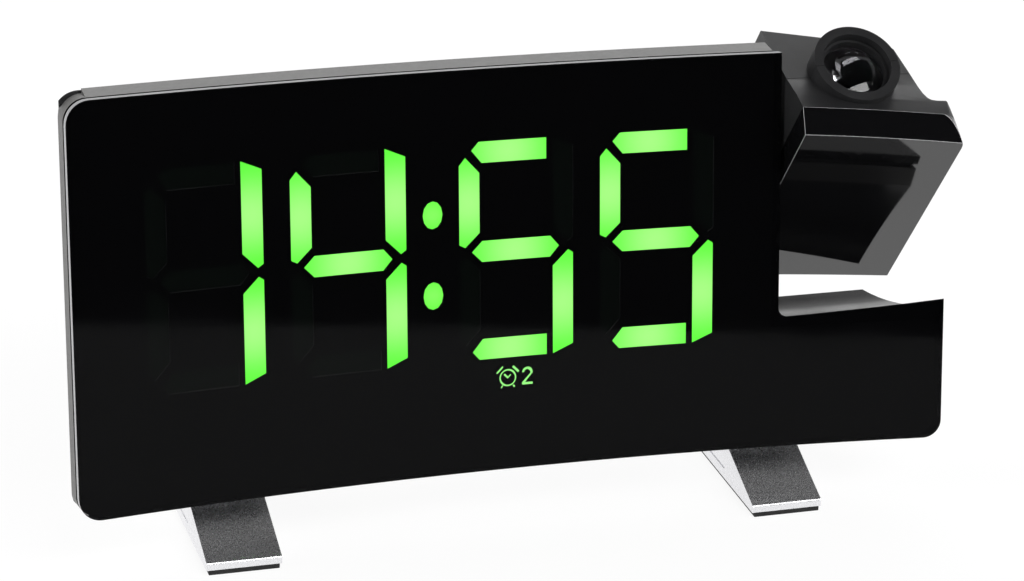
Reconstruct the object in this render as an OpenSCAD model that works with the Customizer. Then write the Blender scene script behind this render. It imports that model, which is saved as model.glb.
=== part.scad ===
// Projection alarm clock: a hollow-curved seven-segment display that leans back on two wedge
// feet, with a projector that swings on a level hinge in the notch at the upper right.
// X runs to the viewer's right, Y away from the viewer and Z up. The origin is on the surface
// that the clock stands on, under the middle of its outline.
// The body is drawn upright, its own origin in the middle of the chord of the front face's
// bottom edge, and is then leaned back. "Depth" is measured from the curved front face inwards.

/* [Front] */
// Width of the front panel
panel_w = 193; // [185:1:205]
// Height of the front panel
panel_h = 87.5; // [85:0.5:92]
// How far the middle of the front lies behind its ends
face_sag = 8.4; // [7:0.2:9.4]
// Thickness of the front panel
panel_t = 2; // [1.6:0.1:2.4]
// Corner radius at the two left corners
corner_r = 5; // [3:0.5:7]
// Corner radius at the lower right corner
low_corner_r = 4; // [2:0.5:6]
// Dark gap between the panel and the bezel
bezel_gap = 1; // [0.8:0.1:1.2]
// Depth of the bezel's sloping band
bezel_depth = 4.4; // [3.8:0.2:5.2]
// How far the bezel's band rises above the panel's top edge
bezel_rise = 1.1; // [0.6:0.1:1.8]
// How far the bezel's band stands out at the sides and the bottom
bezel_flare = 0.1; // [0.1:0.1:0.8]
// Width of the ledge that the panel is glued to
ledge_w = 8; // [7.5:0.1:8.4]

/* [Housing] */
// Thickness of the moulded walls
wall = 2; // [1.8:0.1:2.2]
// Depth of the body along its bottom edge
back_y = 23; // [22:0.2:25]
// Angle of the back to the front's chord
back_tilt = 9; // [8:0.5:10]
// Slope of the top, down to the back
top_slope = 16; // [14:0.5:18]
// Slope of the underside, up to the back
under_slope = 5; // [3:0.5:7]
// Angle at which the sides draw in to the back
side_taper = 20; // [16:1:22]

/* [Stand] */
// Angle that the body leans back
lean = 10.8; // [9.5:0.1:12]
// Height of the front face's bottom chord above the table
body_lift = 15.7; // [15.2:0.1:17]
// Where the bottom chord stands along Y
body_y = -31.9; // [-33.5:0.05:-31.5]
// Where the middle of the feet stands along Y
foot_y = -8.05; // [-9.5:0.05:-7.5]
// Length of a foot
foot_len = 46.3; // [42:0.1:52]
// Width of a foot
foot_w = 16.3; // [14:0.1:18]
// Distance of a foot's middle from the clock's middle
foot_x = 61.4; // [56:0.1:66]
// Slope of a foot's front face
foot_slope = 21.5; // [19:0.5:23]
// Height of a foot's front lip
foot_lip = 2; // [1.6:0.1:2.4]
// Thickness of the rubber pads
pad_t = 1; // [0.8:0.1:1.5]

/* [Display] */
// Height of a digit
digit_h = 47.5; // [42:0.5:50]
// Width of a digit
digit_w = 25.5; // [24:0.1:26]
// Thickness of a segment
segment_t = 4.65; // [4:0.05:5]
// Gap between neighbouring segments
segment_gap = 0.8; // [0.6:0.1:1.2]
// Distance between the digits of a pair
digit_pitch = 31.45; // [30.5:0.05:32]
// Distance between the hour's and the minute's inner digits
pair_pitch = 37.2; // [36.6:0.1:38]
// Middle of the colon, from the middle of the panel
colon_x = -17.35; // [-19:0.05:-16]
// Height of the digits' foot above the panel's bottom edge
digit_z = 24.1; // [22:0.1:25]
// Thickness of a circuit board
board_t = 1.6; // [1.2:0.1:2]

/* [Projector] */
// Width of the notch that the projector swings in
notch_w = 37; // [36:0.1:38.4]
// How far the hinge lies below the panel's top edge
hinge_drop = 21.5; // [20.5:0.1:22.5]
// Depth of the hinge, from the chord of the front face
hinge_y = 18.5; // [17.8:0.1:19]
// Radius that every part of the projector stays within as it swings
swing_r = 36.9; // [36.2:0.1:37.6]
// Gap between the swinging projector and the trough under it
swing_gap = 2.2; // [1.8:0.1:2.6]
// Angle that the projector is turned forward from flush with the front
projector_tilt = 45.25; // [0:0.25:90]
// Outer diameter of the lens ring
ring_d = 19.2; // [18.6:0.1:19.8]
// Bore of the lens ring
ring_bore = 15.2; // [14.8:0.1:15.6]
// Clear diameter of the lens
lens_d = 13.8; // [13:0.1:14]
// Outer diameter of the hinge shaft
shaft_d = 9; // [8.4:0.1:9.6]
// Bore of the hinge shaft, for the wires
shaft_bore = 5.6; // [5:0.1:6]
// Radius of the focus wheel
wheel_r = 4.4; // [4.2:0.1:4.5]

/* [Controls] */
// Diameter of a rear button
button_d = 7.2; // [6:0.1:8]
// Distance between the rear buttons
button_pitch = 14; // [12:0.5:15]
// Length of the snooze bar
snooze_len = 60; // [50:1:64]
// Depth of the snooze bar, front to back
snooze_w = 11; // [9:0.5:12]
// Diameter of the speaker
speaker_d = 28; // [24:0.5:30]

/* [Hidden] */

$fn = 48;
arc_steps = 8;             // chords in a rounded corner
fine = 0.05;               // overshoot of a cut past a face
far = 60;                  // longer than the body is deep

// Front
half_w = panel_w / 2;
face_r = (half_w * half_w + face_sag * face_sag) / (2 * face_sag);
face_sweep = 2 * asin((half_w + 12) / face_r);
notch_x = half_w - notch_w;
hinge_z = panel_h - hinge_drop;
trough_r = swing_r + swing_gap;
notch_fillet = 2;
film_t = 0.3;              // black film on the panel's back
film_edge = 0.6;           // border that the film leaves free
bezel_front = panel_t + bezel_gap;
seam = bezel_front + bezel_depth;
notch_step = 0.9;          // the housing's notch wall stands back from the panel's edge
notch_wall = notch_x - notch_step;
ledge_edge = 1.2;
corner_ease = 0.03;         // keeps a corner's cone from only touching the flat beside it

// Boards and display
display_gap = 0.1;
display_front = panel_t + film_t + display_gap;
guide_t = 2;               // depth of a segment's light guide
display_margin = 2.5;
icon_z = digit_z - 4.35;   // middle of the alarm icon's row
display_left = colon_x - pair_pitch / 2 - digit_pitch - digit_w / 2 - display_margin;
display_right = colon_x + pair_pitch / 2 + digit_pitch + digit_w / 2 + display_margin;
display_low = icon_z - 5;
display_top = digit_z + digit_h + display_margin;
chip = [1.6, 0.7, 1.2];
least_light_box = 2.8;     // depth of the light boxes in the middle
display_board_y = face_sag + display_front + least_light_box;
display_board_back = display_board_y + board_t;
main_board_gap = 3.8;
main_board_y = display_board_back + main_board_gap;

// Screws
screw_r = 1.35;
screw_head_r = 2.5;
screw_head_t = 1.6;
boss_r = 2.8;
pilot_play = 0.05;
joint_y = 13;
screw_sites = [
    [-half_w + 14.5, 9], [-half_w + 14.5, panel_h - 10], [notch_x - 8.5, panel_h - 10],
    [half_w - 14.5, 10], [4, 8]
];
// Where the bezel's and the housing's bosses meet, at a place along X
function joint_at(x) = max(joint_y, face_y(x) + bezel_front + 5.4);

// ---------------------------------------------------------------- frames and helpers

// The leaning body's own frame
module body_frame() {
    translate([0, body_y, body_lift]) rotate([-lean, 0, 0]) children();
}

// On the back: Y outward, Z up along the slope
module back_frame() {
    translate([0, back_y, 0]) rotate([-back_tilt, 0, 0]) children();
}

// The projector's frame, turned from flush to where it rests
module projector_frame() {
    body_frame()
        translate([0, hinge_y, hinge_z]) rotate([projector_tilt, 0, 0])
            translate([0, -hinge_y, -hinge_z]) children();
}

function face_y(x) = sqrt(face_r * face_r - x * x) - face_r + face_sag;

// Extrudes an X-Z outline from y0 to y1
module along_y(y0, y1) {
    translate([0, y1, 0]) rotate([90, 0, 0]) linear_extrude(y1 - y0) children();
}

// Extrudes a Y-Z outline from x0 to x1
module along_x(x0, x1) {
    translate([x0, 0, 0]) rotate([90, 0, 90]) linear_extrude(x1 - x0) children();
}

module rod_y(r, y0, y1) {
    translate([0, y0, 0]) rotate([-90, 0, 0]) cylinder(r = r, h = y1 - y0);
}

module rod_x(r, x0, x1) {
    translate([x0, 0, 0]) rotate([0, 90, 0]) cylinder(r = r, h = x1 - x0);
}

// Sweeps a [depth, z] outline about the axis that the front face curves round
module about_face_axis(points) {
    translate([0, face_sag - face_r, 0]) rotate([0, 0, 90 - face_sweep / 2])
        rotate_extrude(angle = face_sweep, $fn = 720)
            polygon([for (p = points) [face_r + p[0], p[1]]]);
}

// A layer that follows the front face, between two depths
module face_layer(d0, d1, z0 = -far, z1 = 2 * far) {
    about_face_axis([[d0, z0], [d1, z0], [d1, z1], [d0, z1]]);
}

// The points of an outline whose corners are [x, y, radius]
function flat_point(c) = [c[0], c[1]];
function corner_arc(a, b, c, r) =
    r <= 0 ? [b] :
    let (
        u = (a - b) / norm(a - b), v = (c - b) / norm(c - b),
        half = acos(u * v) / 2,
        o = b + (u + v) / norm(u + v) * r / sin(half),
        p0 = b + u * r / tan(half) - o, p1 = b + v * r / tan(half) - o,
        a0 = atan2(p0[1], p0[0]), a1 = atan2(p1[1], p1[0]),
        turn = (a1 - a0 + 540) % 360 - 180
    )
    [for (i = [0:arc_steps]) o + r * [cos(a0 + turn * i / arc_steps), sin(a0 + turn * i / arc_steps)]];
function rounded(corners) =
    let (n = len(corners))
    [for (i = [0:n - 1]) each corner_arc(
        flat_point(corners[(i + n - 1) % n]), flat_point(corners[i]),
        flat_point(corners[(i + 1) % n]), corners[i][2])];

// ---------------------------------------------------------------- the front and its notch

module front_outline(inset) {
    polygon(rounded([
        [-half_w + inset, inset, max(corner_r - inset, 0)],
        [half_w - inset, inset, max(low_corner_r - inset, 0)],
        [half_w - inset, panel_h - inset, 0],
        [-half_w + inset, panel_h - inset, max(corner_r - inset, 0)]
    ]));
}

// What the swinging projector clears: a drum on the hinge with a rounded inner edge
module swing_cut(x0, grow = 0) {
    r = trough_r + grow;
    translate([x0, hinge_y, hinge_z]) rotate([0, 90, 0]) rotate_extrude($fn = 180) difference() {
        square([r, half_w]);
        difference() {
            translate([r - notch_fillet, -fine]) square([notch_fillet + fine, notch_fillet + fine]);
            translate([r - notch_fillet, notch_fillet]) circle(notch_fillet);
        }
    }
}

// The front's area, drawn in by inset, between two depths
module front_area(inset, d0, d1) {
    difference() {
        intersection() {
            face_layer(d0, d1);
            along_y(-fine, far) front_outline(inset);
        }
        swing_cut(notch_x - inset, inset);
    }
}

module front_panel() {
    color([0.02, 0.02, 0.025, 0.6]) body_frame() front_area(0, 0, panel_t);
}

// ---------------------------------------------------------------- bezel and housing

// The sides: out along the bezel's band, then in to the back
function flare_at(y) = bezel_flare * (y - bezel_front) / bezel_depth;
function side_x(inset, y) =
    half_w - inset + (y < seam ? flare_at(y) : bezel_flare - (y - seam) * tan(side_taper));

module plan_form(inset) {
    stations = [-far / 4, seam - fine / 10, far];
    translate([0, 0, -far]) linear_extrude(4 * far) polygon(concat(
        [for (y = stations) [side_x(inset, y), y]],
        [for (i = [2:-1:0]) [-side_x(inset, stations[i]), stations[i]]]));
}

// Takes one long corner off the bezel and the housing: a cone behind the panel's own corner,
// then a round that runs back along the edge where the sloping faces meet
module corner_cut(sx, sz, r, inset, slope) {
    cx = sx * (half_w - r);
    cz = sz > 0 ? panel_h - r : r;
    reach = r + 3;
    rim = sz > 0 ? bezel_rise : bezel_flare;
    y0 = face_y(cx);
    block_x = sx > 0 ? 0 : -reach;
    block_z = sz > 0 ? 0 : -reach;
    front = -3;
    behind = y0 + seam + 1;
    cone_r = r - inset + corner_ease;
    difference() {
        translate([cx + block_x, front + 1, cz + block_z]) cube([reach, behind - 0.5 - front - 1, reach]);
        translate([cx, front, cz]) rotate([-90, 0, 0])
            cylinder(r1 = max(cone_r + flare_at(front), 0.1), r2 = cone_r + flare_at(behind), h = behind - front);
    }
    translate([cx, y0 + seam, cz]) rotate([-sz * slope, 0, sx * side_taper]) difference() {
        translate([block_x, -reach, block_z]) cube([reach, far, reach]);
        rod_y(r - inset + (bezel_flare + rim) / 2, -reach - 1, far + 1);
    }
}

module corner_cuts(inset) {
    corner_cut(-1, 1, corner_r, inset, top_slope);
    corner_cut(-1, -1, corner_r, inset, under_slope);
    corner_cut(1, -1, low_corner_r, inset, under_slope);
}

function top_z(d) = panel_h + bezel_rise - (d - seam) * tan(top_slope);
function under_z(d) = -bezel_flare + (d - seam) * tan(under_slope);

module bezel_form(inset, d0, d1) {
    rise0 = bezel_rise * (d0 - bezel_front) / bezel_depth;
    rise1 = bezel_rise * (d1 - bezel_front) / bezel_depth;
    drop0 = bezel_flare * (d0 - bezel_front) / bezel_depth;
    drop1 = bezel_flare * (d1 - bezel_front) / bezel_depth;
    difference() {
        intersection() {
            about_face_axis([
                [d0, inset - drop0], [d1, inset - drop1],
                [d1, panel_h + rise1 - inset], [d0, panel_h + rise0 - inset]
            ]);
            plan_form(inset);
        }
        corner_cuts(inset);
        swing_cut(notch_wall - inset, inset);
    }
}

module housing_form(inset, d0) {
    difference() {
        intersection() {
            about_face_axis([
                [d0, under_z(d0) + inset], [far, under_z(far) + inset],
                [far, top_z(far) - inset], [d0, top_z(d0) - inset]
            ]);
            plan_form(inset);
            back_frame() translate([-2 * far, -2 * far, -far]) cube([4 * far, 2 * far - inset, 4 * far]);
        }
        corner_cuts(inset);
        swing_cut(notch_wall - inset, inset);
    }
}

module front_bezel() {
    ledge_t = 1.4;
    ledge_front = panel_t + film_t;
    color([0.45, 0.45, 0.46]) body_frame() {
        difference() {
            union() {
                difference() {
                    bezel_form(0, bezel_front, seam);
                    bezel_form(wall, bezel_front - 1, seam + 1);
                }
                difference() {
                    front_area(ledge_edge, ledge_front, ledge_front + ledge_t);
                    front_area(ledge_w, ledge_front - 1, ledge_front + ledge_t + 1);
                }
                intersection() {
                    for (p = screw_sites)
                        translate([p[0], 0, p[1]]) rod_y(boss_r, 0, joint_at(p[0]));
                    face_layer(ledge_front, far);
                }
            }
            for (p = screw_sites)
                translate([p[0], 0, p[1]]) rod_y(screw_r + pilot_play, joint_at(p[0]) - screw_bite - 1, far);
            translate([0, hinge_y, hinge_z]) rod_x(bushing_r + 0.05, notch_wall - wall - 1, notch_wall + 1);
        }
    }
}
screw_bite = 3;            // how far a housing screw reaches into the bezel's boss

// The depth of the screw heads' seats at a height up the back
head_seat = 1.2;
function back_at(z) = back_y + z * tan(back_tilt);
function seat_y(z) = back_at(z) - head_seat - screw_head_t;

module rear_housing() {
    color([0.2, 0.2, 0.21]) body_frame() difference() {
        union() {
            difference() {
                housing_form(0, seam);
                housing_form(wall, seam - 1);
            }
            intersection() {
                housing_form(0.5, joint_y - face_sag);
                union() {
                    for (p = screw_sites) translate([p[0], 0, p[1]]) {
                        rod_y(boss_r, joint_at(p[0]), far);
                        rod_y(screw_head_r + 1.4, seat_y(p[1]) - 1.2, far);
                    }
                    for (p = main_board_posts) translate([p[0], 0, p[1]])
                        rod_y(post_r, main_board_y + board_t, far);
                    for (p = display_posts) translate([p[0], 0, p[1]])
                        rod_y(post_r, display_board_back, far);
                    for (p = power_posts) translate([p[0], p[1], -far]) cylinder(r = 1.8, h = far + power_board_z);
                    back_frame() {
                        button_posts();
                        battery_walls();
                        speaker_collar();
                    }
                    snooze_posts();
                }
            }
            hinge_collar();
        }
        for (p = screw_sites) translate([p[0], 0, p[1]]) {
            rod_y(screw_r + 0.15, 0, far);
            rod_y(screw_head_r + 0.3, seat_y(p[1]), far);
        }
        for (p = main_board_posts) translate([p[0], 0, p[1]])
            rod_y(board_screw_r + pilot_play, 0, main_board_y + board_t + 5);
        back_frame() {
            for (p = button_sites) translate([p[0], 0, p[1]]) rod_y(button_d / 2 + button_play, -far / 2, 1);
            battery_cut();
            speaker_grille();
            translate([jack_x, 0, port_s]) rod_y(jack_collar_r, -far / 4, 1);
            vent_slots();
        }
        snooze_slot();
        translate([0, hinge_y, hinge_z]) rod_x(bushing_r + 0.05, notch_wall - wall - 1, notch_wall + 1);
        foot_pilots();
    }
}

// Louvres low on the back, over the power parts
module vent_slots() {
    for (i = [0:5]) translate([vent_x + i * 4, -wall - 1, vent_s]) cube([1.6, wall + 2, 10]);
}
vent_x = -half_w + 24;
vent_s = 10;

// ---------------------------------------------------------------- display

function digit_centre(k) =
    colon_x + (k < 2 ? -1 : 1) * pair_pitch / 2 + (k == 0 ? -digit_pitch : 0) + (k == 3 ? digit_pitch : 0);

// Corner points of the seven segments of a digit, its lower left corner at [0, 0].
// The bars have a point at their left end, and the right-hand uprights fill the corners.
function segment_points(name) =
    let (
        w = digit_w, h = digit_h, t = segment_t, g = segment_gap, m = h / 2,
        tip = 0.6 * t,             // where a bar's point starts
        cut = 0.35 * t,            // slant at an upright's outer end
        bar_right = w - t - g - 0.6 * g,
        a = [[tip, h - cut - 0.2], [tip + cut, h], [bar_right, h], [bar_right, h - t], [tip + t / 2, h - t]],
        f = [[0, h - t - 0.3], [cut - 0.2, h - t + 1.4], [t, h - t - 2.1], [t, m + t - 0.6],
             [cut - 0.2, m + 1], [0, m + 1.7]],
        b = [[w - t, h], [w, h - 2], [w, m + 1.7], [w - 1.2, m + 0.9], [w - t, m + t - 0.4]]
    )
    name == "a" ? a :
    name == "b" ? b :
    name == "f" ? f :
    name == "c" ? [for (p = b) [p[0], h - p[1]]] :
    name == "d" ? [for (p = a) [p[0], h - p[1]]] :
    name == "e" ? [for (p = f) [p[0], h - p[1]]] :
    [[tip, m], [tip + t / 2, m + t / 2], [w - t - 0.5, m + t / 2], [w - t / 2 - g, m],
     [w - t - 0.5, m - t / 2], [tip + t / 2, m - t / 2]];

lit = [["b", "c"], ["b", "c", "f", "g"], ["a", "c", "d", "f", "g"], ["a", "c", "d", "f", "g"]];
unlit = [["a", "d", "e", "f", "g"], ["a", "d", "e"], ["b", "e"], ["b", "e"]];

module segment_outlines(names) {
    for (k = [0:3], s = names[k])
        translate([digit_centre(k) - digit_w / 2, digit_z]) polygon(segment_points(s));
}

colon_r = 2.25;
colon_zs = [digit_z + 0.315 * digit_h, digit_z + 0.683 * digit_h];

module colon_outlines() {
    for (z = colon_zs) translate([colon_x, z]) scale([1, 1.35]) circle(colon_r, $fn = 12);
}

// A clock face with two bells and two feet, and the figure 2
icon_r = 1.95;
module icon_outlines() {
    line = 0.42;
    translate([-0.8, icon_z - 0.1]) {
        difference() {
            circle(icon_r);
            circle(icon_r - line);
        }
        rotate(45) translate([-line / 2, -line / 2]) square([icon_r - 0.8, line]);
        rotate(135) translate([-line / 2, -line / 2]) square([icon_r - 0.5, line]);
        for (side = [-1, 1]) {
            rotate(side * 45) translate([-1, icon_r + 0.35]) square([2, 0.5]);
            rotate(side * 145) translate([-line / 2, icon_r + 0.05]) square([line, 0.7]);
        }
    }
    translate([2.35, icon_z - 2]) two_outline(2.5, 4, 0.62);
}

// The figure 2, from strokes of one width
module two_outline(w, h, t) {
    r = w / 2;
    difference() {
        translate([r, h - r]) circle(r);
        translate([r, h - r]) circle(r - t);
        translate([-fine, h - r - w]) square([r + fine, w]);
        translate([r - fine, h - r - w - r * 0.35]) square([r + 2 * fine, w]);
    }
    square([w, t]);
    polygon([[0, t], [w - t - 0.1, h - r - 0.25], [w - 0.25, h - r - 0.55], [t * 1.35, t]]);
}

module guide(children_depth = guide_t) {
    intersection() {
        face_layer(display_front, display_front + children_depth);
        along_y(-fine, far) children();
    }
}

module lit_segments() {
    color([0.45, 1, 0.3]) body_frame() guide() segment_outlines(lit);
}

module unlit_segments() {
    color([0.05, 0.07, 0.05]) body_frame() guide() segment_outlines(unlit);
}

module colon_dots() {
    color([0.45, 1, 0.3]) body_frame() guide() colon_outlines();
}

module alarm_icon() {
    color([0.45, 1, 0.3]) body_frame() guide(1) icon_outlines();
}

module windows() {
    along_y(-fine, far) {
        segment_outlines(lit);
        segment_outlines(unlit);
        colon_outlines();
    }
}

// The black film on the panel's back, open where light comes through
module display_mask() {
    color([0.03, 0.03, 0.03]) body_frame() difference() {
        front_area(film_edge, panel_t, panel_t + film_t);
        windows();
        along_y(-fine, far) icon_outlines();
    }
}

module display_frame() {
    color([0.9, 0.9, 0.88]) body_frame() difference() {
        intersection() {
            face_layer(display_front, far);
            translate([display_left, 0, display_low])
                cube([display_right - display_left, display_board_y, display_top - display_low]);
        }
        windows();
        translate([-4.2, 0, icon_z - 3]) cube([9.8, far, 6]);
    }
}

module display_board() {
    color([0.05, 0.3, 0.12]) body_frame()
        translate([display_left, display_board_y, display_low])
            cube([display_right - display_left, board_t, display_top - display_low]);
}

// Middles of the seven segments, for the chips behind them
function segment_middle(name) =
    let (p = segment_points(name), n = len(p))
    [for (i = [0, 1]) [for (q = p) q[i]] * [for (q = p) 1 / n]];

module chip_at(x, z) {
    translate([x - chip[0] / 2, display_board_y - chip[1], z - chip[2] / 2]) cube(chip);
}

module led_chips() {
    color([0.95, 0.9, 0.6]) body_frame() {
        for (k = [0:3], s = ["a", "b", "c", "d", "e", "f", "g"]) {
            m = segment_middle(s);
            chip_at(digit_centre(k) - digit_w / 2 + m[0], digit_z + m[1]);
        }
        for (z = colon_zs) chip_at(colon_x, z);
        chip_at(-0.8, icon_z);
        chip_at(3.6, icon_z);
    }
}

// ---------------------------------------------------------------- main board and battery

main_board_w = 46;
main_board_h = 34;
main_board_x = -44;
main_board_z = display_top - main_board_h - 1;
post_r = 2.2;
board_screw_r = 0.95;
board_inset = 3;
main_board_posts = [for (i = [0, 1], j = [0, 1]) [
    main_board_x + board_inset + i * (main_board_w - 2 * board_inset),
    main_board_z + board_inset + j * (main_board_h - 2 * board_inset)]];
display_posts = [
    [display_left + 3, display_low + 3], [display_left + 3, display_top - 3],
    [display_right - 3, display_low + 3], [display_right - 3, display_top - 3]
];

module main_board() {
    color([0.05, 0.3, 0.12]) body_frame() difference() {
        translate([main_board_x, main_board_y, main_board_z]) cube([main_board_w, board_t, main_board_h]);
        for (p = main_board_posts) translate([p[0], 0, p[1]]) rod_y(board_screw_r + 0.2, 0, far);
    }
}

wire_r = 1.3;
plug_w = 9;
plug_right = main_board_x + main_board_w;

processor = [13, 1.8, 13];
processor_at = [12, 11];
driver = [8, 1.5, 6];
driver_at = [30, 12];
trimmer_r = 2.4;
trimmer_h = 2;
trimmer_at = [30, 22];

// Chips and sockets on the main board
module board_parts() {
    back = main_board_y + board_t;
    color([0.12, 0.12, 0.13]) body_frame() {
        translate([main_board_x + processor_at[0], back, main_board_z + processor_at[1]]) cube(processor);
        translate([main_board_x + driver_at[0], back, main_board_z + driver_at[1]]) cube(driver);
        translate([main_board_x + trimmer_at[0], 0, main_board_z + trimmer_at[1]])
            rod_y(trimmer_r, back, back + trimmer_h);
        translate([plug_right - plug_w, main_board_y - 2.8, hinge_z - 3]) cube([plug_w, 2.8, 4.7]);
    }
}

ribbon_w = 12;
module ribbon_cable() {
    color([0.85, 0.85, 0.85]) body_frame()
        translate([main_board_x + 14, display_board_back, main_board_z + 14])
            cube([ribbon_w, main_board_gap, 0.6]);
}

module board_screws() {
    color([0.7, 0.7, 0.72]) body_frame() for (p = main_board_posts) translate([p[0], 0, p[1]]) {
        rod_y(board_screw_r, main_board_y - fine, main_board_y + board_t + 4.5);
        rod_y(1.8, main_board_y - 1.1, main_board_y);
    }
}

// Coin cell in a pocket on the back, under a hinged door
cell_r = 10;
cell_t = 3.2;
door_w = 27;
door_h = 25;
door_t = 1.6;
door_x = -16;
door_s = 8;                // height of the door's lower edge up the back
door_play = 0.35;
pocket_depth = 6.4;
pocket_wall = 1.4;
hinge_pin_r = 0.6;
pin_len = 1;
cell_x = door_x;
cell_s = door_s + door_h / 2 + 0.6;
cell_y = -2.2;             // outer face of the cell, below the back

module battery_walls() {
    w = door_w + 2 * (door_play + pocket_wall);
    h = door_h + 2 * (door_play + pocket_wall);
    translate([door_x - w / 2, -pocket_depth - pocket_wall, door_s - door_play - pocket_wall])
        cube([w, pocket_depth + pocket_wall, h]);
}

module battery_cut() {
    rim = 1.2;             // step that the closed door rests on, at its upper edge
    w = door_w + 2 * door_play;
    translate([door_x - w / 2, -door_t - 0.1, door_s - door_play]) cube([w, far, door_h + 2 * door_play]);
    translate([door_x - w / 2 + rim, -pocket_depth, door_s - door_play + 2.4])
        cube([w - 2 * rim, far, door_h + 2 * door_play - 2.4 - rim]);
    translate([door_x, -door_t / 2, door_s + door_t / 2])
        rod_x(hinge_pin_r + 0.06, -door_w / 2 - door_play - pin_len, door_w / 2 + door_play + pin_len);
    translate([door_x - 4, -1, door_s + door_h]) cube([8, far, 1.8]);
}

module battery_door() {
    lug = door_play + pin_len - 0.15;
    color([0.2, 0.2, 0.21]) body_frame() back_frame() {
        difference() {
            union() {
                translate([door_x - door_w / 2, -door_t, door_s + door_t / 2])
                    cube([door_w, door_t, door_h - door_t / 2]);
                translate([door_x, -door_t / 2, door_s + door_t / 2]) {
                    rod_x(door_t / 2, -door_w / 2, door_w / 2);
                    rod_x(hinge_pin_r, -door_w / 2 - lug, door_w / 2 + lug);
                }
            }
            for (i = [0:2]) translate([door_x - 4, -0.5, door_s + door_h - 4 - 1.6 * i]) cube([8, 1, 0.8]);
        }
    }
}

module coin_cell_holder() {
    base = -pocket_depth;
    color([0.1, 0.1, 0.1]) body_frame() back_frame() difference() {
        translate([cell_x, 0, cell_s]) rod_y(cell_r + 0.9, base, cell_y - 0.6);
        translate([cell_x, 0, cell_s]) rod_y(cell_r + 0.1, cell_y - cell_t, 1);
        translate([cell_x - 5, base - 1, cell_s + 6]) cube([10, far, 10]);
    }
}

module coin_cell() {
    color([0.8, 0.8, 0.8]) body_frame() back_frame() translate([cell_x, 0, cell_s]) {
        rod_y(cell_r, cell_y - cell_t + 0.5, cell_y);
        rod_y(cell_r - 1.6, cell_y - cell_t, cell_y - cell_t + 0.5);
    }
}

// ---------------------------------------------------------------- buttons

button_play = 0.25;
button_proud = 1.2;
button_travel = 0.8;
flange_t = 1;
button_board_y = -8.8;     // outer face of the button board, below the back
switch_h = 2.7;
button_x0 = 16;
button_s0 = 38;
button_sites = [for (j = [0, 1], i = [0:2]) [button_x0 + i * button_pitch, button_s0 + (1 - j) * button_pitch]];
button_post_sites = [for (i = [-0.5, 2.5], j = [-0.35, 1.35])
    [button_x0 + i * button_pitch, button_s0 + j * button_pitch]];

module button_posts() {
    for (p = button_post_sites) translate([p[0], 0, p[1]]) rod_y(1.6, button_board_y, -fine);
}

module one_button(i) {
    color([0.12, 0.12, 0.13]) body_frame() back_frame() translate([button_sites[i][0], 0, button_sites[i][1]]) {
        rod_y(button_d / 2, -wall - 0.1 - fine, button_proud);
        rod_y(button_d / 2 + 1, -wall - 0.1 - flange_t, -wall - 0.1);
        rod_y(1.4, button_board_y + switch_h + button_travel + 0.15, -wall - flange_t);
    }
}

module time_button() { one_button(0); }
module alarm_one_button() { one_button(1); }
module alarm_two_button() { one_button(2); }
module up_button() { one_button(3); }
module down_button() { one_button(4); }
module dimmer_button() { one_button(5); }

module button_board() {
    x0 = button_x0 - 0.75 * button_pitch;
    s0 = button_s0 - 0.55 * button_pitch;
    color([0.05, 0.3, 0.12]) body_frame() back_frame()
        translate([x0, button_board_y - board_t, s0])
            cube([3.5 * button_pitch, board_t, 2.1 * button_pitch]);
}

module tact_switches() {
    color([0.3, 0.3, 0.32]) body_frame() back_frame() for (p = button_sites) translate([p[0], 0, p[1]]) {
        translate([-3, button_board_y, -3]) cube([6, switch_h - 0.9, 6]);
        rod_y(1.7, button_board_y, button_board_y + switch_h);
    }
}

// Snooze bar, in a slot along the sloping top
snooze_mid = -18;
snooze_depth = 11;         // depth of its front edge from the front face
snooze_proud = 0.15;
snooze_travel = 1.2;
snooze_play = 0.4;
snooze_body = 3.4;         // height of the bar below the top
slope_dir = [cos(top_slope), -sin(top_slope)];
slope_out = [sin(top_slope), cos(top_slope)];

// A block on the sloping top, from a0 to a1 along the slope and from h0 to h1 across it
module slope_block(a0, a1, h0, h1, x0, x1) {
    start = [snooze_depth, top_z(snooze_depth)];
    corners = [[a0, h0], [a1, h0], [a1, h1], [a0, h1]];
    intersection() {
        about_face_axis([for (c = corners) start + c[0] * slope_dir + c[1] * slope_out]);
        translate([x0, 0, 0]) cube([x1 - x0, 2 * far, 3 * far]);
    }
}

module snooze_bar() {
    x0 = snooze_mid - snooze_len / 2;
    x1 = snooze_mid + snooze_len / 2;
    color([0.14, 0.14, 0.15]) body_frame() {
        slope_block(0, snooze_w, -snooze_body, snooze_proud, x0, x1);
        slope_block(-1, snooze_w + 1, -snooze_body - 1, -snooze_body, x0 - 1, x1 + 1);
    }
}

module snooze_slot() {
    slope_block(-snooze_play, snooze_w + snooze_play, -snooze_body, 3,
        snooze_mid - snooze_len / 2 - snooze_play, snooze_mid + snooze_len / 2 + snooze_play);
}

snooze_board_drop = 10.4;  // from the top's surface to the board under the bar
snooze_board_reach = snooze_len / 2 - 8;
snooze_switch_w = 6;
snooze_switch_x = snooze_board_reach - 8;
snooze_ear_w = 3;
snooze_ear_x = snooze_board_reach - snooze_ear_w / 2;
module snooze_board() {
    color([0.05, 0.3, 0.12]) body_frame() {
        slope_block(0, snooze_w, -snooze_board_drop - board_t, -snooze_board_drop,
            snooze_mid - snooze_board_reach, snooze_mid + snooze_board_reach);
        for (dx = [-snooze_switch_x, snooze_switch_x])
            slope_block(2.5, snooze_w - 2.5, -snooze_board_drop, -snooze_body - 1 - snooze_travel - 0.4,
                snooze_mid + dx - snooze_switch_w / 2, snooze_mid + dx + snooze_switch_w / 2);
    }
}

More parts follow.
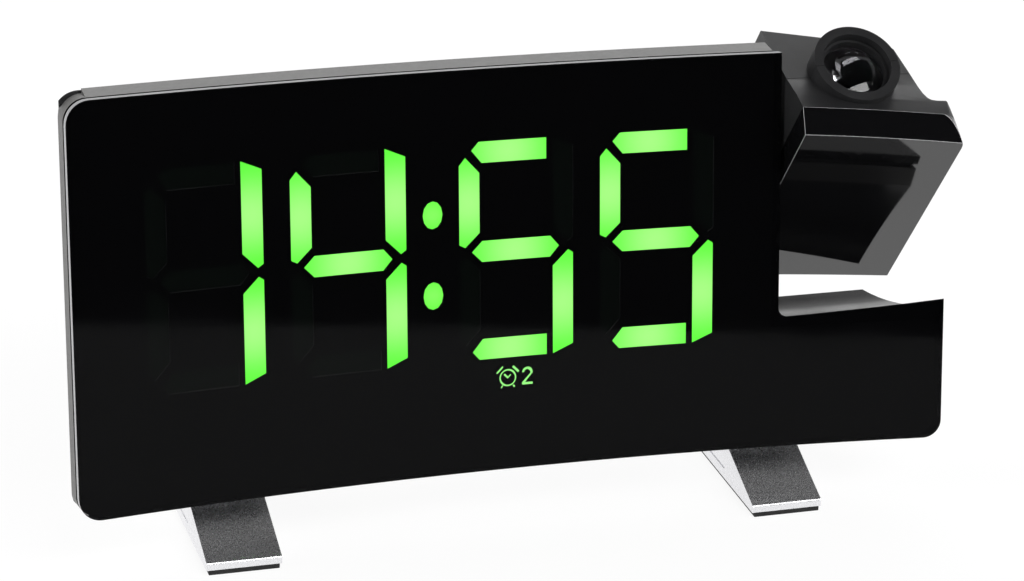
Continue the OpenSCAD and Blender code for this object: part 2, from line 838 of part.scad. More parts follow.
// Ears beside the slot that carry the snooze bar's board
module snooze_posts() {
    ear = snooze_ear_w / 2;
    for (dx = [-snooze_ear_x, snooze_ear_x]) {
        slope_block(snooze_w + 1.5, snooze_w + 3.5, -snooze_board_drop - board_t - 1.5, 0,
            snooze_mid + dx - ear, snooze_mid + dx + ear);
        slope_block(snooze_w - 2, snooze_w + 2.5, -snooze_board_drop - board_t - 1.4,
            -snooze_board_drop - board_t, snooze_mid + dx - ear + 0.1, snooze_mid + dx + ear - 0.1);
    }
}

// ---------------------------------------------------------------- power inlet

port_s = 12;
jack_x = notch_x - 4;
jack_collar_r = 4.6;
jack_bore_r = 3.1;
jack_depth = 11;
power_board_z = 6;
power_board_y = 11;
power_board_d = 10;
power_posts = [
    [notch_x - 7.5, power_board_y + 5.5], [notch_x + 7, power_board_y + 5.5],
    [notch_x, power_board_y + 8]
];

module power_board() {
    x0 = jack_x - 6;
    x1 = jack_x + 14;
    color([0.05, 0.3, 0.12]) body_frame()
        translate([x0, power_board_y, power_board_z]) cube([x1 - x0, power_board_d, board_t]);
}

module dc_jack() {
    color([0.06, 0.06, 0.06]) body_frame() back_frame() translate([jack_x, 0, port_s]) {
        difference() {
            rod_y(jack_collar_r - 0.15, -jack_depth, -0.3);
            rod_y(jack_bore_r, -jack_depth + 2, 1);
        }
        rod_y(1, -jack_depth + 1, -1.5);
    }
}

// ---------------------------------------------------------------- speaker

speaker_x = -half_w + 35;
speaker_s = 50;
speaker_r = speaker_d / 2;
speaker_t = 7.5;
speaker_collar_h = 3.5;

module speaker_collar() {
    translate([speaker_x, 0, speaker_s]) difference() {
        rod_y(speaker_r + 1.8, -wall - speaker_collar_h, -fine);
        rod_y(speaker_r + 0.2, -wall - speaker_collar_h - 1, -wall);
    }
}

module speaker_grille() {
    hole_r = 0.9;
    translate([speaker_x, 0, speaker_s]) {
        rod_y(hole_r, -wall - 1, 1);
        for (ring = [1:3], i = [0:6 * ring - 1])
            rotate([0, i * 60 / ring, 0]) translate([3.3 * ring, 0, 0]) rod_y(hole_r, -wall - 1, 1);
    }
}

module speaker_frame() {
    color([0.35, 0.35, 0.36]) body_frame() back_frame() translate([speaker_x, 0, speaker_s]) difference() {
        union() {
            rod_y(speaker_r, -wall - 2.5, -wall - 0.05);
            rod_y(speaker_r * 0.62, -wall - speaker_t, -wall - 2.5);
        }
        translate([0, -wall - 3, 0]) rotate([-90, 0, 0]) cylinder(r1 = speaker_r * 0.5, r2 = speaker_r - 1.2, h = 3.2);
    }
}

module speaker_cone() {
    rim = speaker_r - 2.6;
    color([0.08, 0.08, 0.08]) body_frame() back_frame() translate([speaker_x, -wall - 2.4, speaker_s])
        rotate([-90, 0, 0]) rotate_extrude() polygon([
            [0, 0.4], [3.4, 0.1], [4.2, 0], [rim, 1.9], [rim, 2.2], [4.2, 0.5], [3.2, 0.9], [0, 1.2]]);
}

// ---------------------------------------------------------------- fasteners

module housing_screws() {
    color([0.25, 0.25, 0.26]) body_frame() for (p = screw_sites) translate([p[0], 0, p[1]]) {
        y1 = seat_y(p[1]);
        rod_y(screw_r, joint_at(p[0]) - screw_bite, y1 + fine);
        difference() {
            rod_y(screw_head_r, y1, y1 + screw_head_t);
            for (a = [0, 90]) rotate([0, a, 0]) translate([-1.5, y1 + 0.7, -0.3]) cube([3, 2, 0.6]);
        }
    }
}

// ---------------------------------------------------------------- feet

foot_front = foot_y - foot_len / 2;
foot_back = foot_y + foot_len / 2;
land_y = foot_front + 16.8;        // where the top of the foot meets the clock
land_w = 4.6;
foot_screw_x = [-4.4, 4.4];

// Height of the clock's underside above the table, at a row y
function under_at(y) =
    let (z = -bezel_flare + (back_y - face_y(foot_x) - seam) * tan(under_slope))
    body_lift - (y - body_y) * tan(lean) + z / cos(lean);

module foot_profile() {
    top0 = pad_t + foot_lip;
    run = land_y - foot_front - 1.2;
    polygon(rounded([
        [foot_front, pad_t, 0.2], [foot_front + 0.2, top0 - 0.3, 0.5], [foot_front + 1.2, top0, 0],
        [land_y, top0 + run * tan(foot_slope), 0],
        [land_y + 0.3, under_at(land_y) + 2, 0],
        [land_y + land_w, under_at(land_y + land_w) + 2, 0],
        [foot_back - 2, pad_t + 1.8, 1], [foot_back, pad_t + 1, 0.3], [foot_back, pad_t, 0.2]
    ]));
}

module foot(side) {
    groove = [0.5, 22, 0.35];
    difference() {
        translate([side * foot_x, 0, 0]) along_x(-foot_w / 2, foot_w / 2) foot_profile();
        body_frame() underside_space();
        for (x = [-foot_w / 2 - fine, foot_w / 2 - groove[0] + fine])
            translate([side * foot_x + x, foot_front + 17.7, pad_t + 2.2]) cube(groove);
        for (dx = foot_screw_x) foot_screw_line(side * foot_x + dx) {
            cylinder(r = 1.3, h = far, center = true);
            translate([0, 0, -far + foot_seat]) cylinder(r = 2.6, h = far);
        }
    }
}
foot_seat = -2.4;          // depth of a foot screw's head below the clock's underside

// Down from the clock's underside at the middle of a foot's land, square to the underside
module foot_screw_line(x) {
    y = land_y + land_w / 2 + 0.4;
    translate([x, y, under_at(y)]) rotate([-lean + under_slope, 0, 0]) children();
}

// Everything above the clock's underside, so that a foot ends against it
module underside_space() {
    about_face_axis([[-far, under_z(seam)], [seam, under_z(seam)], [2 * far, under_z(2 * far)], [2 * far, 2 * far], [-far, 2 * far]]);
}

module foot_pilots() {
    // drawn in the body's frame: the foot screws' lines, brought back from the row's frame
    rotate([lean, 0, 0]) translate([0, -body_y, -body_lift])
        for (side = [-1, 1], dx = foot_screw_x)
            foot_screw_line(side * foot_x + dx) cylinder(r = foot_screw_r + pilot_play, h = 12, center = true);
}
foot_screw_r = 1.1;

module foot_screws() {
    color([0.6, 0.6, 0.62]) for (side = [-1, 1], dx = foot_screw_x) foot_screw_line(side * foot_x + dx) {
        translate([0, 0, foot_seat - fine]) cylinder(r = foot_screw_r, h = 5.4);
        translate([0, 0, foot_seat - 1.4]) cylinder(r = 2.2, h = 1.4);
    }
}

module left_foot() { color([0.78, 0.78, 0.8]) foot(-1); }
module right_foot() { color([0.78, 0.78, 0.8]) foot(1); }

module foot_pad(side) {
    edge = 0.5;
    color([0.06, 0.06, 0.06]) translate([side * foot_x - foot_w / 2 + edge, foot_front, 0])
        cube([foot_w - 2 * edge, foot_len, pad_t]);
}

module left_foot_pad() { foot_pad(-1); }
module right_foot_pad() { foot_pad(1); }

// ---------------------------------------------------------------- hinge

bushing_r = shaft_d / 2 + 1.4;
bushing_flange_r = bushing_r + 2.2;
bushing_flange_t = 1.4;
shaft_play = 0.05;
projector_gap = 0.8;
projector_left = notch_x + projector_gap;
shaft_left = notch_wall - wall - bushing_flange_t - 3.2;
shaft_flange_t = 1.5;
shell_t = 1.8;

// Thicker ring of the notch wall round the hinge
module hinge_collar() {
    intersection() {
        translate([0, hinge_y, hinge_z]) difference() {
            rod_x(bushing_flange_r + 1.4, notch_wall - wall - 1, notch_wall - fine);
            rod_x(bushing_flange_r + 0.1, notch_wall - far, notch_wall - wall);
        }
        face_layer(seam + fine, far);
    }
}

module hinge_bushing() {
    color([0.85, 0.85, 0.82]) body_frame() translate([0, hinge_y, hinge_z]) difference() {
        union() {
            rod_x(bushing_r, notch_wall - wall - fine, notch_wall + 0.3);
            rod_x(bushing_flange_r, notch_wall - wall - bushing_flange_t, notch_wall - wall);
        }
        rod_x(shaft_d / 2 + shaft_play, 0, 2 * far);
    }
}

module hinge_shaft() {
    color([0.1, 0.1, 0.11]) projector_frame() translate([0, hinge_y, hinge_z]) difference() {
        union() {
            rod_x(shaft_d / 2, shaft_left, projector_left + shell_t + shaft_flange_t);
            rod_x(shaft_d / 2 + 2.6, projector_left + shell_t, projector_left + shell_t + shaft_flange_t);
            rod_x(shaft_d / 2 + 0.8, notch_wall + 0.4, projector_left);
        }
        rod_x(shaft_bore / 2, 0, 2 * far);
        clip_groove(0);
    }
}

clip_t = 0.8;
washer_t = 0.8;
washer_right = notch_wall - wall - bushing_flange_t - 0.05;
clip_right = washer_right - washer_t - 0.05;

module clip_groove(play) {
    difference() {
        rod_x(shaft_d / 2 + 1, clip_right - clip_t - play, clip_right + play);
        rod_x(shaft_d / 2 - 0.6, clip_right - clip_t - 1, clip_right + 1);
    }
}

// Wave washer that gives the hinge its friction
module spring_washer() {
    color([0.75, 0.72, 0.65]) projector_frame() translate([0, hinge_y, hinge_z]) difference() {
        rod_x(shaft_d / 2 + 1.9, washer_right - washer_t, washer_right);
        rod_x(shaft_d / 2 + 0.05, 0, 2 * far);
    }
}

// Clip with an open mouth, snapped into the shaft's groove
module retaining_clip() {
    color([0.7, 0.7, 0.7]) projector_frame() translate([0, hinge_y, hinge_z]) difference() {
        rod_x(shaft_d / 2 + 1.8, clip_right - clip_t + 0.02, clip_right - 0.02);
        rod_x(shaft_d / 2 - 0.55, 0, 2 * far);
        translate([0, -2.2, 0]) cube([2 * far, 4.4, far]);
    }
}

module projector_wires() {
    color([0.7, 0.1, 0.1]) body_frame() translate([0, hinge_y, hinge_z])
        rod_x(wire_r, plug_right, projector_left + shell_t + shaft_flange_t + 1);
}

// ---------------------------------------------------------------- projector

// Drawn flush with the front. Points of its side view, as depth from the chord and height
projector_right = half_w - 0.7;
cover_depth = 5.15;
cover_rise = 3.05;
cover_wall = 1.8;
cover_corner = 5;
deck_z = panel_h + cover_rise;
deck_len = 44;
// The casing's top, as depth and height
deck_points = [[cover_depth, deck_z], [cover_depth + 3.7, deck_z - 1], [cover_depth + 9, deck_z - 3.1],
               [cover_depth + deck_len, deck_z - 13.8]];
// The casing's right side in plan, with the step behind the cover
side_points = [
    [half_w - 1.7, 5.3], [half_w - 2.5, 10.2], [half_w - 4.6, 10.35], [half_w - 5.8, 10.7],
    [half_w - 6.4, 11.4], [half_w - 6.8, 13.1], [half_w - 7.1, 20.8], [half_w - 7.5, 28.1],
    [half_w - 8.2, 29.4]
];
casing_right = half_w - 7.3;
casing_depth = 36.1;       // at its left side; the back slants forward from there
casing_slant = 0.238;
function casing_back(x) = casing_depth - casing_slant * (x - projector_left);
lens_x = notch_x + 15.9;
lens_y = hinge_y + 1.4;
ring_top = deck_z + 0.9;

module swing_drum(inset) {
    translate([0, hinge_y, hinge_z]) rotate([0, 90, 0])
        cylinder(r = swing_r - inset, h = 3 * far, $fn = 180);
}

// The projector's outline from the front, with its upper right corner rounded
module projector_outline(inset) {
    top = deck_z + 2 * fine - inset;
    along_y(-far, 2 * far) polygon(rounded([
        [projector_left + inset, 0, 0], [projector_right - inset, 0, 0],
        [projector_right - inset, top, cover_corner - inset], [projector_left + inset, top, 0]]));
}

// The cover: the front's curve carried on, with a band that rises to the casing
module cover_form(inset, d0, d1) {
    z0 = panel_h + cover_rise * max(d0, 0) / cover_depth;
    z1 = panel_h + cover_rise * d1 / cover_depth;
    intersection() {
        about_face_axis([[d0, 0], [d1, 0], [d1, z1 - inset], [d0, z0 - inset]]);
        projector_outline(inset);
        swing_drum(inset);
    }
}

module projector_cover() {
    color([0.03, 0.03, 0.035]) projector_frame() difference() {
        cover_form(0, 0, cover_depth);
        cover_form(cover_wall, cover_wall, cover_depth + 1);
    }
}

// The matte casing behind the cover
module casing_form(inset) {
    front = inset > 0 ? -fine : 0;
    intersection() {
        about_face_axis(concat(
            [[cover_depth + front, 0], [cover_depth + front, deck_z - inset]],
            [for (p = deck_points) [p[0], p[1] - inset]], [[cover_depth + deck_len, 0]]));
        translate([0, 0, -far]) linear_extrude(4 * far) polygon(concat(
            [[projector_left + inset, 0], [side_points[0][0] - inset, 0]],
            [for (p = side_points) p - [inset, inset]],
            [[projector_left + inset, casing_back(projector_left + inset) - inset]]));
        projector_outline(inset);
        swing_drum(inset);
    }
}

module lens_ring_tube(r, z0, z1) {
    translate([lens_x, lens_y, z0]) cylinder(r = r, h = z1 - z0, $fn = 96);
}

ring_low = deck_z - 12;

module projector_casing() {
    difference() {
        union() {
            difference() {
                casing_form(0);
                difference() {
                    casing_form(shell_t);
                    lens_ring_tube(ring_d / 2, ring_low, 2 * far);
                    casing_bosses();
                    wheel_ears();
                    holder_ribs();
                }
            }
            intersection() {
                lens_ring_tube(ring_d / 2, ring_low, ring_top);
                translate([0, 0, ring_low]) cube([3 * far, 2 * far, ring_top - ring_low]);
            }
        }
        lens_ring_tube(ring_bore / 2, 0, 3 * far);
        translate([0, hinge_y, hinge_z]) rod_x(shaft_d / 2 + 0.02, 0, projector_left + shell_t);
        wheel_slot();
        for (p = casing_screw_sites) translate([p[0], 0, p[1]]) {
            rod_y(casing_screw_r + pilot_play, lens_y - 6, far);
            rod_y(2.1, casing_back(p[0]) - 3, far);
        }
    }
}

casing_screw_r = 0.95;
casing_screw_reach = 5.5;  // how far a screw runs past the lens axis
casing_screw_sites = [
    [projector_left + 5.4, hinge_z - 24], [casing_right - 5.2, hinge_z - 24], [casing_right - 4, hinge_z + 8]
];

// A web joins each boss to the casing's side
module casing_bosses() {
    middle = (projector_left + casing_right) / 2;
    for (p = casing_screw_sites) {
        translate([p[0], 0, p[1]]) rod_y(2.9, lens_y - 8, far);
        translate([p[0] < middle ? p[0] - far : p[0], lens_y - 8, p[1] - 0.9]) cube([far, far, 1.8]);
    }
}

module projector_front_shell() {
    color([0.11, 0.11, 0.12]) projector_frame() intersection() {
        projector_casing();
        translate([0, -far, -far]) cube([3 * far, far + lens_y - 0.05, 4 * far]);
    }
}

module projector_rear_shell() {
    color([0.13, 0.13, 0.14]) projector_frame() intersection() {
        projector_casing();
        translate([0, lens_y + 0.05, -far]) cube([3 * far, far, 4 * far]);
    }
}

module projector_screws() {
    color([0.3, 0.3, 0.31]) projector_frame() for (p = casing_screw_sites) translate([p[0], 0, p[1]]) {
        seat = casing_back(p[0]) - 3;
        rod_y(casing_screw_r, lens_y - casing_screw_reach, seat + fine);
        difference() {
            rod_y(1.9, seat, seat + 1.2);
            for (a = [0, 90]) rotate([0, a, 0]) translate([-1.1, seat + 0.7, -0.22]) cube([2.2, 2, 0.44]);
        }
    }
}

// Light path: a square tube holds the lamp, the condenser and the liquid-crystal slide
holder_w = 15;
holder_low = hinge_z - 16;
holder_top = hinge_z + 3;
holder_t = 1.2;

module holder_box(inset, z0, z1) {
    translate([lens_x - holder_w / 2 + inset, lens_y - holder_w / 2 + inset, z0])
        cube([holder_w - 2 * inset, holder_w - 2 * inset, z1 - z0]);
}

// Ribs of the casing that clamp the holder from the front and the back
module holder_ribs() {
    for (z = [holder_low + 3, holder_top - 5]) {
        translate([lens_x - 4, lens_y + holder_w / 2, z]) cube([8, far, 2]);
    }
}

module optic_holder() {
    color([0.08, 0.08, 0.08]) projector_frame() difference() {
        holder_box(0, holder_low, holder_top);
        holder_box(holder_t, holder_low + 2, holder_top + 1);
        translate([lens_x, lens_y, 0]) cylinder(r = 2.6, h = 3 * far);
    }
}

module projection_led() {
    color([0.9, 0.95, 0.9]) projector_frame() translate([lens_x, lens_y, holder_low + 2]) {
        difference() {
            translate([-holder_w / 2 + holder_t, -holder_w / 2 + holder_t, 0])
                cube([holder_w - 2 * holder_t, holder_w - 2 * holder_t, 1]);
        }
        translate([0, 0, 1 - fine]) cylinder(r = 2.5, h = 2);
        translate([0, 0, 3 - 2 * fine]) cylinder(r1 = 2.5, r2 = 1.4, h = 1.2);
    }
}

condenser_r = 5.9;
module condenser_lens() {
    color([0.8, 0.9, 0.95, 0.5]) projector_frame() translate([lens_x, lens_y, holder_low + 8]) intersection() {
        cylinder(r = condenser_r, h = 4);
        translate([0, 0, -5]) sphere(r = 8.6);
    }
}

module lcd_slide() {
    color([0.2, 0.25, 0.22]) projector_frame()
        translate([lens_x - holder_w / 2 + holder_t, lens_y - holder_w / 2 + holder_t, holder_top - 3])
            cube([holder_w - 2 * holder_t, holder_w - 2 * holder_t, 1.4]);
}

// The lens moves along its ring, driven by the rim of the focus wheel
focus_travel = 1.5;
barrel_play = 0.1;
barrel_r = ring_bore / 2 - barrel_play;
barrel_low = holder_top + focus_travel + 1.2;
barrel_top = ring_top - focus_travel - 0.4;
rack_x = lens_x - 6;       // the rack and the wheel stand to the left of the optic holder's middle
rack_y = lens_y + 6.5;
rack_w = 4.6;
ring_clearance = 0.4;      // between the rack and the ring's foot with the lens run right out
rack_h = ring_low - barrel_low - focus_travel - ring_clearance;

module lens_barrel() {
    color([0.05, 0.05, 0.05]) projector_frame() difference() {
        union() {
            lens_ring_tube(barrel_r, barrel_low, barrel_top);
            translate([rack_x - rack_w / 2, lens_y, barrel_low]) cube([rack_w, rack_y - lens_y, rack_h]);
        }
        lens_ring_tube(lens_d / 2 - 0.7, 0, 3 * far);
        lens_ring_tube(lens_d / 2, barrel_top - 3.4, 3 * far);
    }
}

module projection_lens() {
    bulge_r = 12;
    z0 = barrel_top - 3.4;
    drop = sqrt(bulge_r * bulge_r - lens_d * lens_d / 4);
    color([0.75, 0.8, 0.85, 0.4]) projector_frame() intersection() {
        lens_ring_tube(lens_d / 2 - 0.05, z0, barrel_top + 2);
        translate([lens_x, lens_y, z0 + 1.2 - drop]) sphere(r = bulge_r, $fn = 96);
    }
}

wheel_gap = 0.2;
wheel_y = rack_y + wheel_gap + wheel_r;
wheel_z = barrel_low + 2.8;
wheel_w = 4;
axle_r = 1;
ear_t = 1.4;

module wheel_ears() {
    for (side = [-1, 1]) translate([0, 0, wheel_z - 2.4])
        translate([rack_x + side * (wheel_w / 2 + 0.5 + ear_t / 2) - ear_t / 2, wheel_y - 2.4, 0])
            cube([ear_t, far, 4.8]);
}

module wheel_slot() {
    reach = wheel_w / 2 + 0.6 + ear_t;
    translate([rack_x - wheel_w / 2 - 0.4, wheel_y - wheel_r - 0.6, wheel_z - wheel_r - 0.5])
        cube([wheel_w + 0.8, far, 2 * wheel_r + 1]);
    translate([rack_x, wheel_y, wheel_z]) rod_x(axle_r + 0.06, -reach, reach);
}

module focus_wheel() {
    ribs = 24;
    color([0.09, 0.09, 0.1]) projector_frame() translate([rack_x, wheel_y, wheel_z]) {
        rod_x(axle_r, -wheel_w / 2 - 0.4 - ear_t, wheel_w / 2 + 0.4 + ear_t);
        difference() {
            rod_x(wheel_r, -wheel_w / 2, wheel_w / 2);
            for (i = [0:ribs - 1]) rotate([i * 360 / ribs, 0, 0])
                translate([-far, wheel_r - 0.35, -0.2]) cube([2 * far, 1, 0.4]);
        }
    }
}

// ---------------------------------------------------------------- output

front_panel();
front_bezel();
rear_housing();
display_mask();
display_frame();
lit_segments();
unlit_segments();
colon_dots();
alarm_icon();
display_board();
led_chips();
main_board();
board_parts();
ribbon_cable();
coin_cell_holder();
coin_cell();
battery_door();
button_board();
tact_switches();
time_button();
alarm_one_button();
alarm_two_button();
up_button();
down_button();
dimmer_button();
snooze_bar();
snooze_board();
power_board();
dc_jack();
speaker_frame();
speaker_cone();
housing_screws();
board_screws();
left_foot();
right_foot();
left_foot_pad();
right_foot_pad();
foot_screws();
hinge_bushing();
projector_wires();
projector_cover();
projector_front_shell();
projector_rear_shell();
hinge_shaft();
spring_washer();
retaining_clip();
projector_screws();
optic_holder();
projection_led();
lcd_slide();
condenser_lens();
lens_barrel();
projection_lens();
focus_wheel();
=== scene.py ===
# Projection alarm clock with a curved black display, a tilting projector in the notch at its
# upper right and two wedge feet. Everything is in metres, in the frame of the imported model.
import math

import bmesh
import bpy
from mathutils import Matrix, Vector


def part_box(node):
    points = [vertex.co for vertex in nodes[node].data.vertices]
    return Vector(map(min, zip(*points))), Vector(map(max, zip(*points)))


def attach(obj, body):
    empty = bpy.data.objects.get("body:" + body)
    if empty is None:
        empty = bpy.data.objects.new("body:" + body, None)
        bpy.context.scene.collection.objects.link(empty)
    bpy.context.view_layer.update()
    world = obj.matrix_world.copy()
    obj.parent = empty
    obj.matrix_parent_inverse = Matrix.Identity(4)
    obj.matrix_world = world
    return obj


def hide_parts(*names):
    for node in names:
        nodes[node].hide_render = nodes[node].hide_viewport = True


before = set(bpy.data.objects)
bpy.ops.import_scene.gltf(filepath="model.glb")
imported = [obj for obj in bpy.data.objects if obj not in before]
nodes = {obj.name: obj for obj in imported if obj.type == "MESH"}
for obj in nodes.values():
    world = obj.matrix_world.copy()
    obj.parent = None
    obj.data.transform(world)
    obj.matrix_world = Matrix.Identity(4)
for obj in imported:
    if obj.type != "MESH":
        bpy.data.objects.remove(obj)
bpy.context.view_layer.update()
scene = bpy.context.scene
scene.view_settings.view_transform = "Standard"

# ---------------------------------------------------------------- camera
# The clock was photographed from its left and a little above, with a long lens. The camera is
# placed in the frame of the leaning body: origin in the middle of the front's bottom edge.
lean = math.radians(10.8)
front_foot = (0, -0.0319, 0.0157)
body_frame = Matrix.Translation(front_foot) @ Matrix.Rotation(-lean, 4, "X")
camera_place = (-0.22104, -0.66105, 0.21133)
camera_aside = math.radians(-18.235)
camera_up = math.radians(90 - 13.712)
camera_roll = math.radians(-0.301)

camera_data = bpy.data.cameras.new("Camera")
camera_data.sensor_fit = "HORIZONTAL"
camera_data.sensor_width = 36
camera_data.lens = 120.03
camera_data.clip_start = 0.01
camera_data.clip_end = 20
camera = bpy.data.objects.new("Camera", camera_data)
scene.collection.objects.link(camera)
camera.matrix_world = body_frame @ (
    Matrix.Translation(camera_place) @ Matrix.Rotation(camera_aside, 4, "Z")
    @ Matrix.Rotation(camera_up, 4, "X") @ Matrix.Rotation(camera_roll, 4, "Z"))
scene.camera = camera

# ---------------------------------------------------------------- table, cards and lamps
# A white table that ends just before the camera, a black card in front of it, another above the
# clock, and soft boxes all round. The front panel mirrors the table and the card behind its edge.
table_edge = -0.6165
room_depth = -1.25
ceiling_height = 1.15
table_white_level = 1.05
table_white_share = 0.85
wall_level = 1.0
wall_fill = 0.42


def flat_sheet(name, x0, x1, y0, y1, z):
    mesh = bpy.data.meshes.new(name)
    mesh.from_pydata([(x0, y0, z), (x1, y0, z), (x1, y1, z), (x0, y1, z)], [], [(0, 1, 2, 3)])
    sheet = bpy.data.objects.new(name, mesh)
    scene.collection.objects.link(sheet)
    return sheet


def new_material(name, colour, specular=0.5):
    """A material of one colour; returns it, its tree and its shader."""
    material = bpy.data.materials.new(name)
    material.use_nodes = True
    tree = material.node_tree
    paint = tree.nodes["Principled BSDF"]
    paint.inputs["Base Color"].default_value = (*colour, 1)
    paint.inputs["Specular IOR Level"].default_value = specular
    return material, tree, paint


def add_node(tree, kind, links=None, **settings):
    """One node, with its settings, its plain values and its links."""
    made = tree.nodes.new(kind)
    for key, value in settings.items():
        setattr(made, key, value)
    for socket, value in (links or {}).items():
        if isinstance(value, bpy.types.NodeSocket):
            tree.links.new(value, made.inputs[socket])
        else:
            made.inputs[socket].default_value = value
    return made


def computed(tree, operation, first, second):
    """One step of arithmetic on two sockets, or on a socket and a number."""
    return add_node(tree, "ShaderNodeMath", {0: first, 1: second}, operation=operation).outputs[0]


def shown_instead(tree, paint, share, shader):
    """Puts another shader in the paint's place for a share of the rays."""
    blend = add_node(tree, "ShaderNodeMixShader", {0: share, 1: paint.outputs[0], 2: shader.outputs[0]})
    tree.links.new(blend.outputs[0], tree.nodes["Material Output"].inputs["Surface"])


table = flat_sheet("Table", -3, 3, table_edge, 5, 0)
table_white, tree, paint = new_material("Table white", (0.86, 0.86, 0.86), specular=0.2)
paint.inputs["Roughness"].default_value = 0.8
rays = add_node(tree, "ShaderNodeLightPath")
seen = computed(tree, "MAXIMUM", rays.outputs["Is Camera Ray"], rays.outputs["Is Glossy Ray"])
seen = computed(tree, "MAXIMUM", seen, rays.outputs["Is Transmission Ray"])
white = add_node(tree, "ShaderNodeEmission", {"Color": (1, 1, 1, 1), "Strength": table_white_level})
shown_instead(tree, paint, computed(tree, "MULTIPLY", seen, table_white_share), white)
table.data.materials.append(table_white)

# A camera that stands behind one of the cards sees past it
room_black, tree, paint = new_material("Dark room", (0.01, 0.01, 0.01), specular=0.0)
paint.inputs["Roughness"].default_value = 1.0
rays = add_node(tree, "ShaderNodeLightPath")
shown_instead(tree, paint, rays.outputs["Is Camera Ray"], add_node(tree, "ShaderNodeBsdfTransparent"))
dark_room = flat_sheet("Dark room", -1.2, 1.8, -0.55, 0.85, 0)
dark_room.data.transform(Matrix.Translation((0, room_depth, 0)) @ Matrix.Rotation(math.radians(90), 4, "X"))
dark_room.data.materials.append(room_black)
ceiling = flat_sheet("Ceiling", -0.8, 1.5, -1.1, 0.85, ceiling_height)
ceiling.data.materials.append(room_black)

# The studio's walls light the clock softly and are white where they are seen, also in its gloss
world = bpy.data.worlds.new("Studio")
world.use_nodes = True
tree = world.node_tree
walls = tree.nodes["Background"]
walls.inputs["Color"].default_value = (1, 1, 1, 1)
rays = add_node(tree, "ShaderNodeLightPath")
level = add_node(tree, "ShaderNodeMapRange", {
    "Value": rays.outputs["Is Diffuse Ray"], "To Min": wall_level, "To Max": wall_fill})
tree.links.new(level.outputs["Result"], walls.inputs["Strength"])
scene.world = world


def soft_box(name, place, towards, width, height, watts):
    lamp = bpy.data.lights.new(name, "AREA")
    lamp.shape = "RECTANGLE"
    lamp.size = width
    lamp.size_y = height
    lamp.energy = watts
    box = bpy.data.objects.new(name, lamp)
    scene.collection.objects.link(box)
    box.location = place
    box.rotation_euler = (Vector(towards) - Vector(place)).to_track_quat("-Z", "Y").to_euler()


clock_middle = (0, 0, 0.05)
soft_box("Back box", (0.35, 1.25, 0.85), clock_middle, 1.3, 0.5, 8)
soft_box("Front box", (0.42, -0.85, 1.1), clock_middle, 1.3, 0.5, 15)
soft_box("Low strip", (0.16, -1.2, 0.38), (0.08, 0, 0.08), 0.9, 0.07, 2.5)
soft_box("Left box", (-1.25, 0.15, 0.5), clock_middle, 0.7, 0.8, 12)
soft_box("Right box", (1.3, -0.25, 0.6), clock_middle, 0.5, 0.7, 4)

# ---------------------------------------------------------------- front panel
# Smoked acrylic sheet, 2 mm thick, moulded to the curve, polished on its edges and glued to the
# bezel's ledge. The thin bright line along its edge is a painted highlight: the edges that look up or left
# are painted light grey, the others black.
curve_radius = 0.558501
curve_depth = 0.0084                    # how far the middle of the front lies behind its ends
curve_middle = curve_depth - curve_radius
panel_back = curve_radius + 0.0019      # just short of the back of the 2 mm sheet
panel_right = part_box("front_panel")[1][0]
panel_corner = 0.004
panel_edge_round = 0.00028
print_edge = 0.0009
notch_left = 0.0595
notch_floor = 0.0275
film_gap = 0.00004                      # keeps the sheet's back off the film that it lies on
weld = 2e-6


def even_normals(mesh, widest=30):
    """Smooths each corner over its flatter neighbours, where the large faces count for most."""
    limit = math.cos(math.radians(widest))
    around = [[] for vert in mesh.vertices]
    for polygon in mesh.polygons:
        for vert in polygon.vertices:
            around[vert].append((polygon.normal.copy(), polygon.area ** 2))
    normals = [None] * len(mesh.loops)
    for polygon in mesh.polygons:
        own = polygon.normal.copy()
        for corner in polygon.loop_indices:
            here = around[mesh.loops[corner].vertex_index]
            near = [n * weight for n, weight in here if n.dot(own) > limit]
            total = sum(near, Vector())
            normals[corner] = total.normalized() if total.length > 0 else own
    mesh.normals_split_custom_set(normals)


def rounded_copy(name, node, width, angle=28, segments=2, edge_slot=-1):
    """A copy of a CAD node as a welded mesh whose sharp edges are rounded by width."""
    work = bmesh.new()
    work.from_mesh(nodes[node].data)
    bmesh.ops.remove_doubles(work, verts=work.verts, dist=weld)
    bmesh.ops.dissolve_limit(work, angle_limit=math.radians(0.4), verts=work.verts, edges=work.edges)
    sharp = [e for e in work.edges if len(e.link_faces) == 2 and e.calc_face_angle(0) > math.radians(angle)]
    if width > 0:
        bmesh.ops.bevel(work, geom=sharp, offset=width, segments=segments, profile=0.6,
                        affect="EDGES", clamp_overlap=True, material=edge_slot)
    for face in work.faces:
        face.smooth = True
    mesh = bpy.data.meshes.new(name)
    work.to_mesh(mesh)
    work.free()
    mesh.set_sharp_from_angle(angle=math.radians(30))
    even_normals(mesh)
    piece = bpy.data.objects.new(name, mesh)
    scene.collection.objects.link(piece)
    return piece


def soft_noise(tree, scale, detail):
    """A noise on Object coordinates, so that it stays with its piece."""
    place = add_node(tree, "ShaderNodeTexCoord")
    size = add_node(tree, "ShaderNodeMapping", {"Vector": place.outputs["Object"], "Scale": (scale,) * 3})
    return add_node(tree, "ShaderNodeTexNoise", {
        "Vector": size.outputs["Vector"], "Scale": 1.0, "Detail": detail})


def varied(tree, paint, low, high, scale):
    """A roughness that wanders softly between low and high."""
    noise = soft_noise(tree, scale, 4)
    spread = add_node(tree, "ShaderNodeMapRange", {
        "Value": noise.outputs["Fac"], "From Min": 0.3, "From Max": 0.7, "To Min": low, "To Max": high})
    tree.links.new(spread.outputs["Result"], paint.inputs["Roughness"])
    return noise


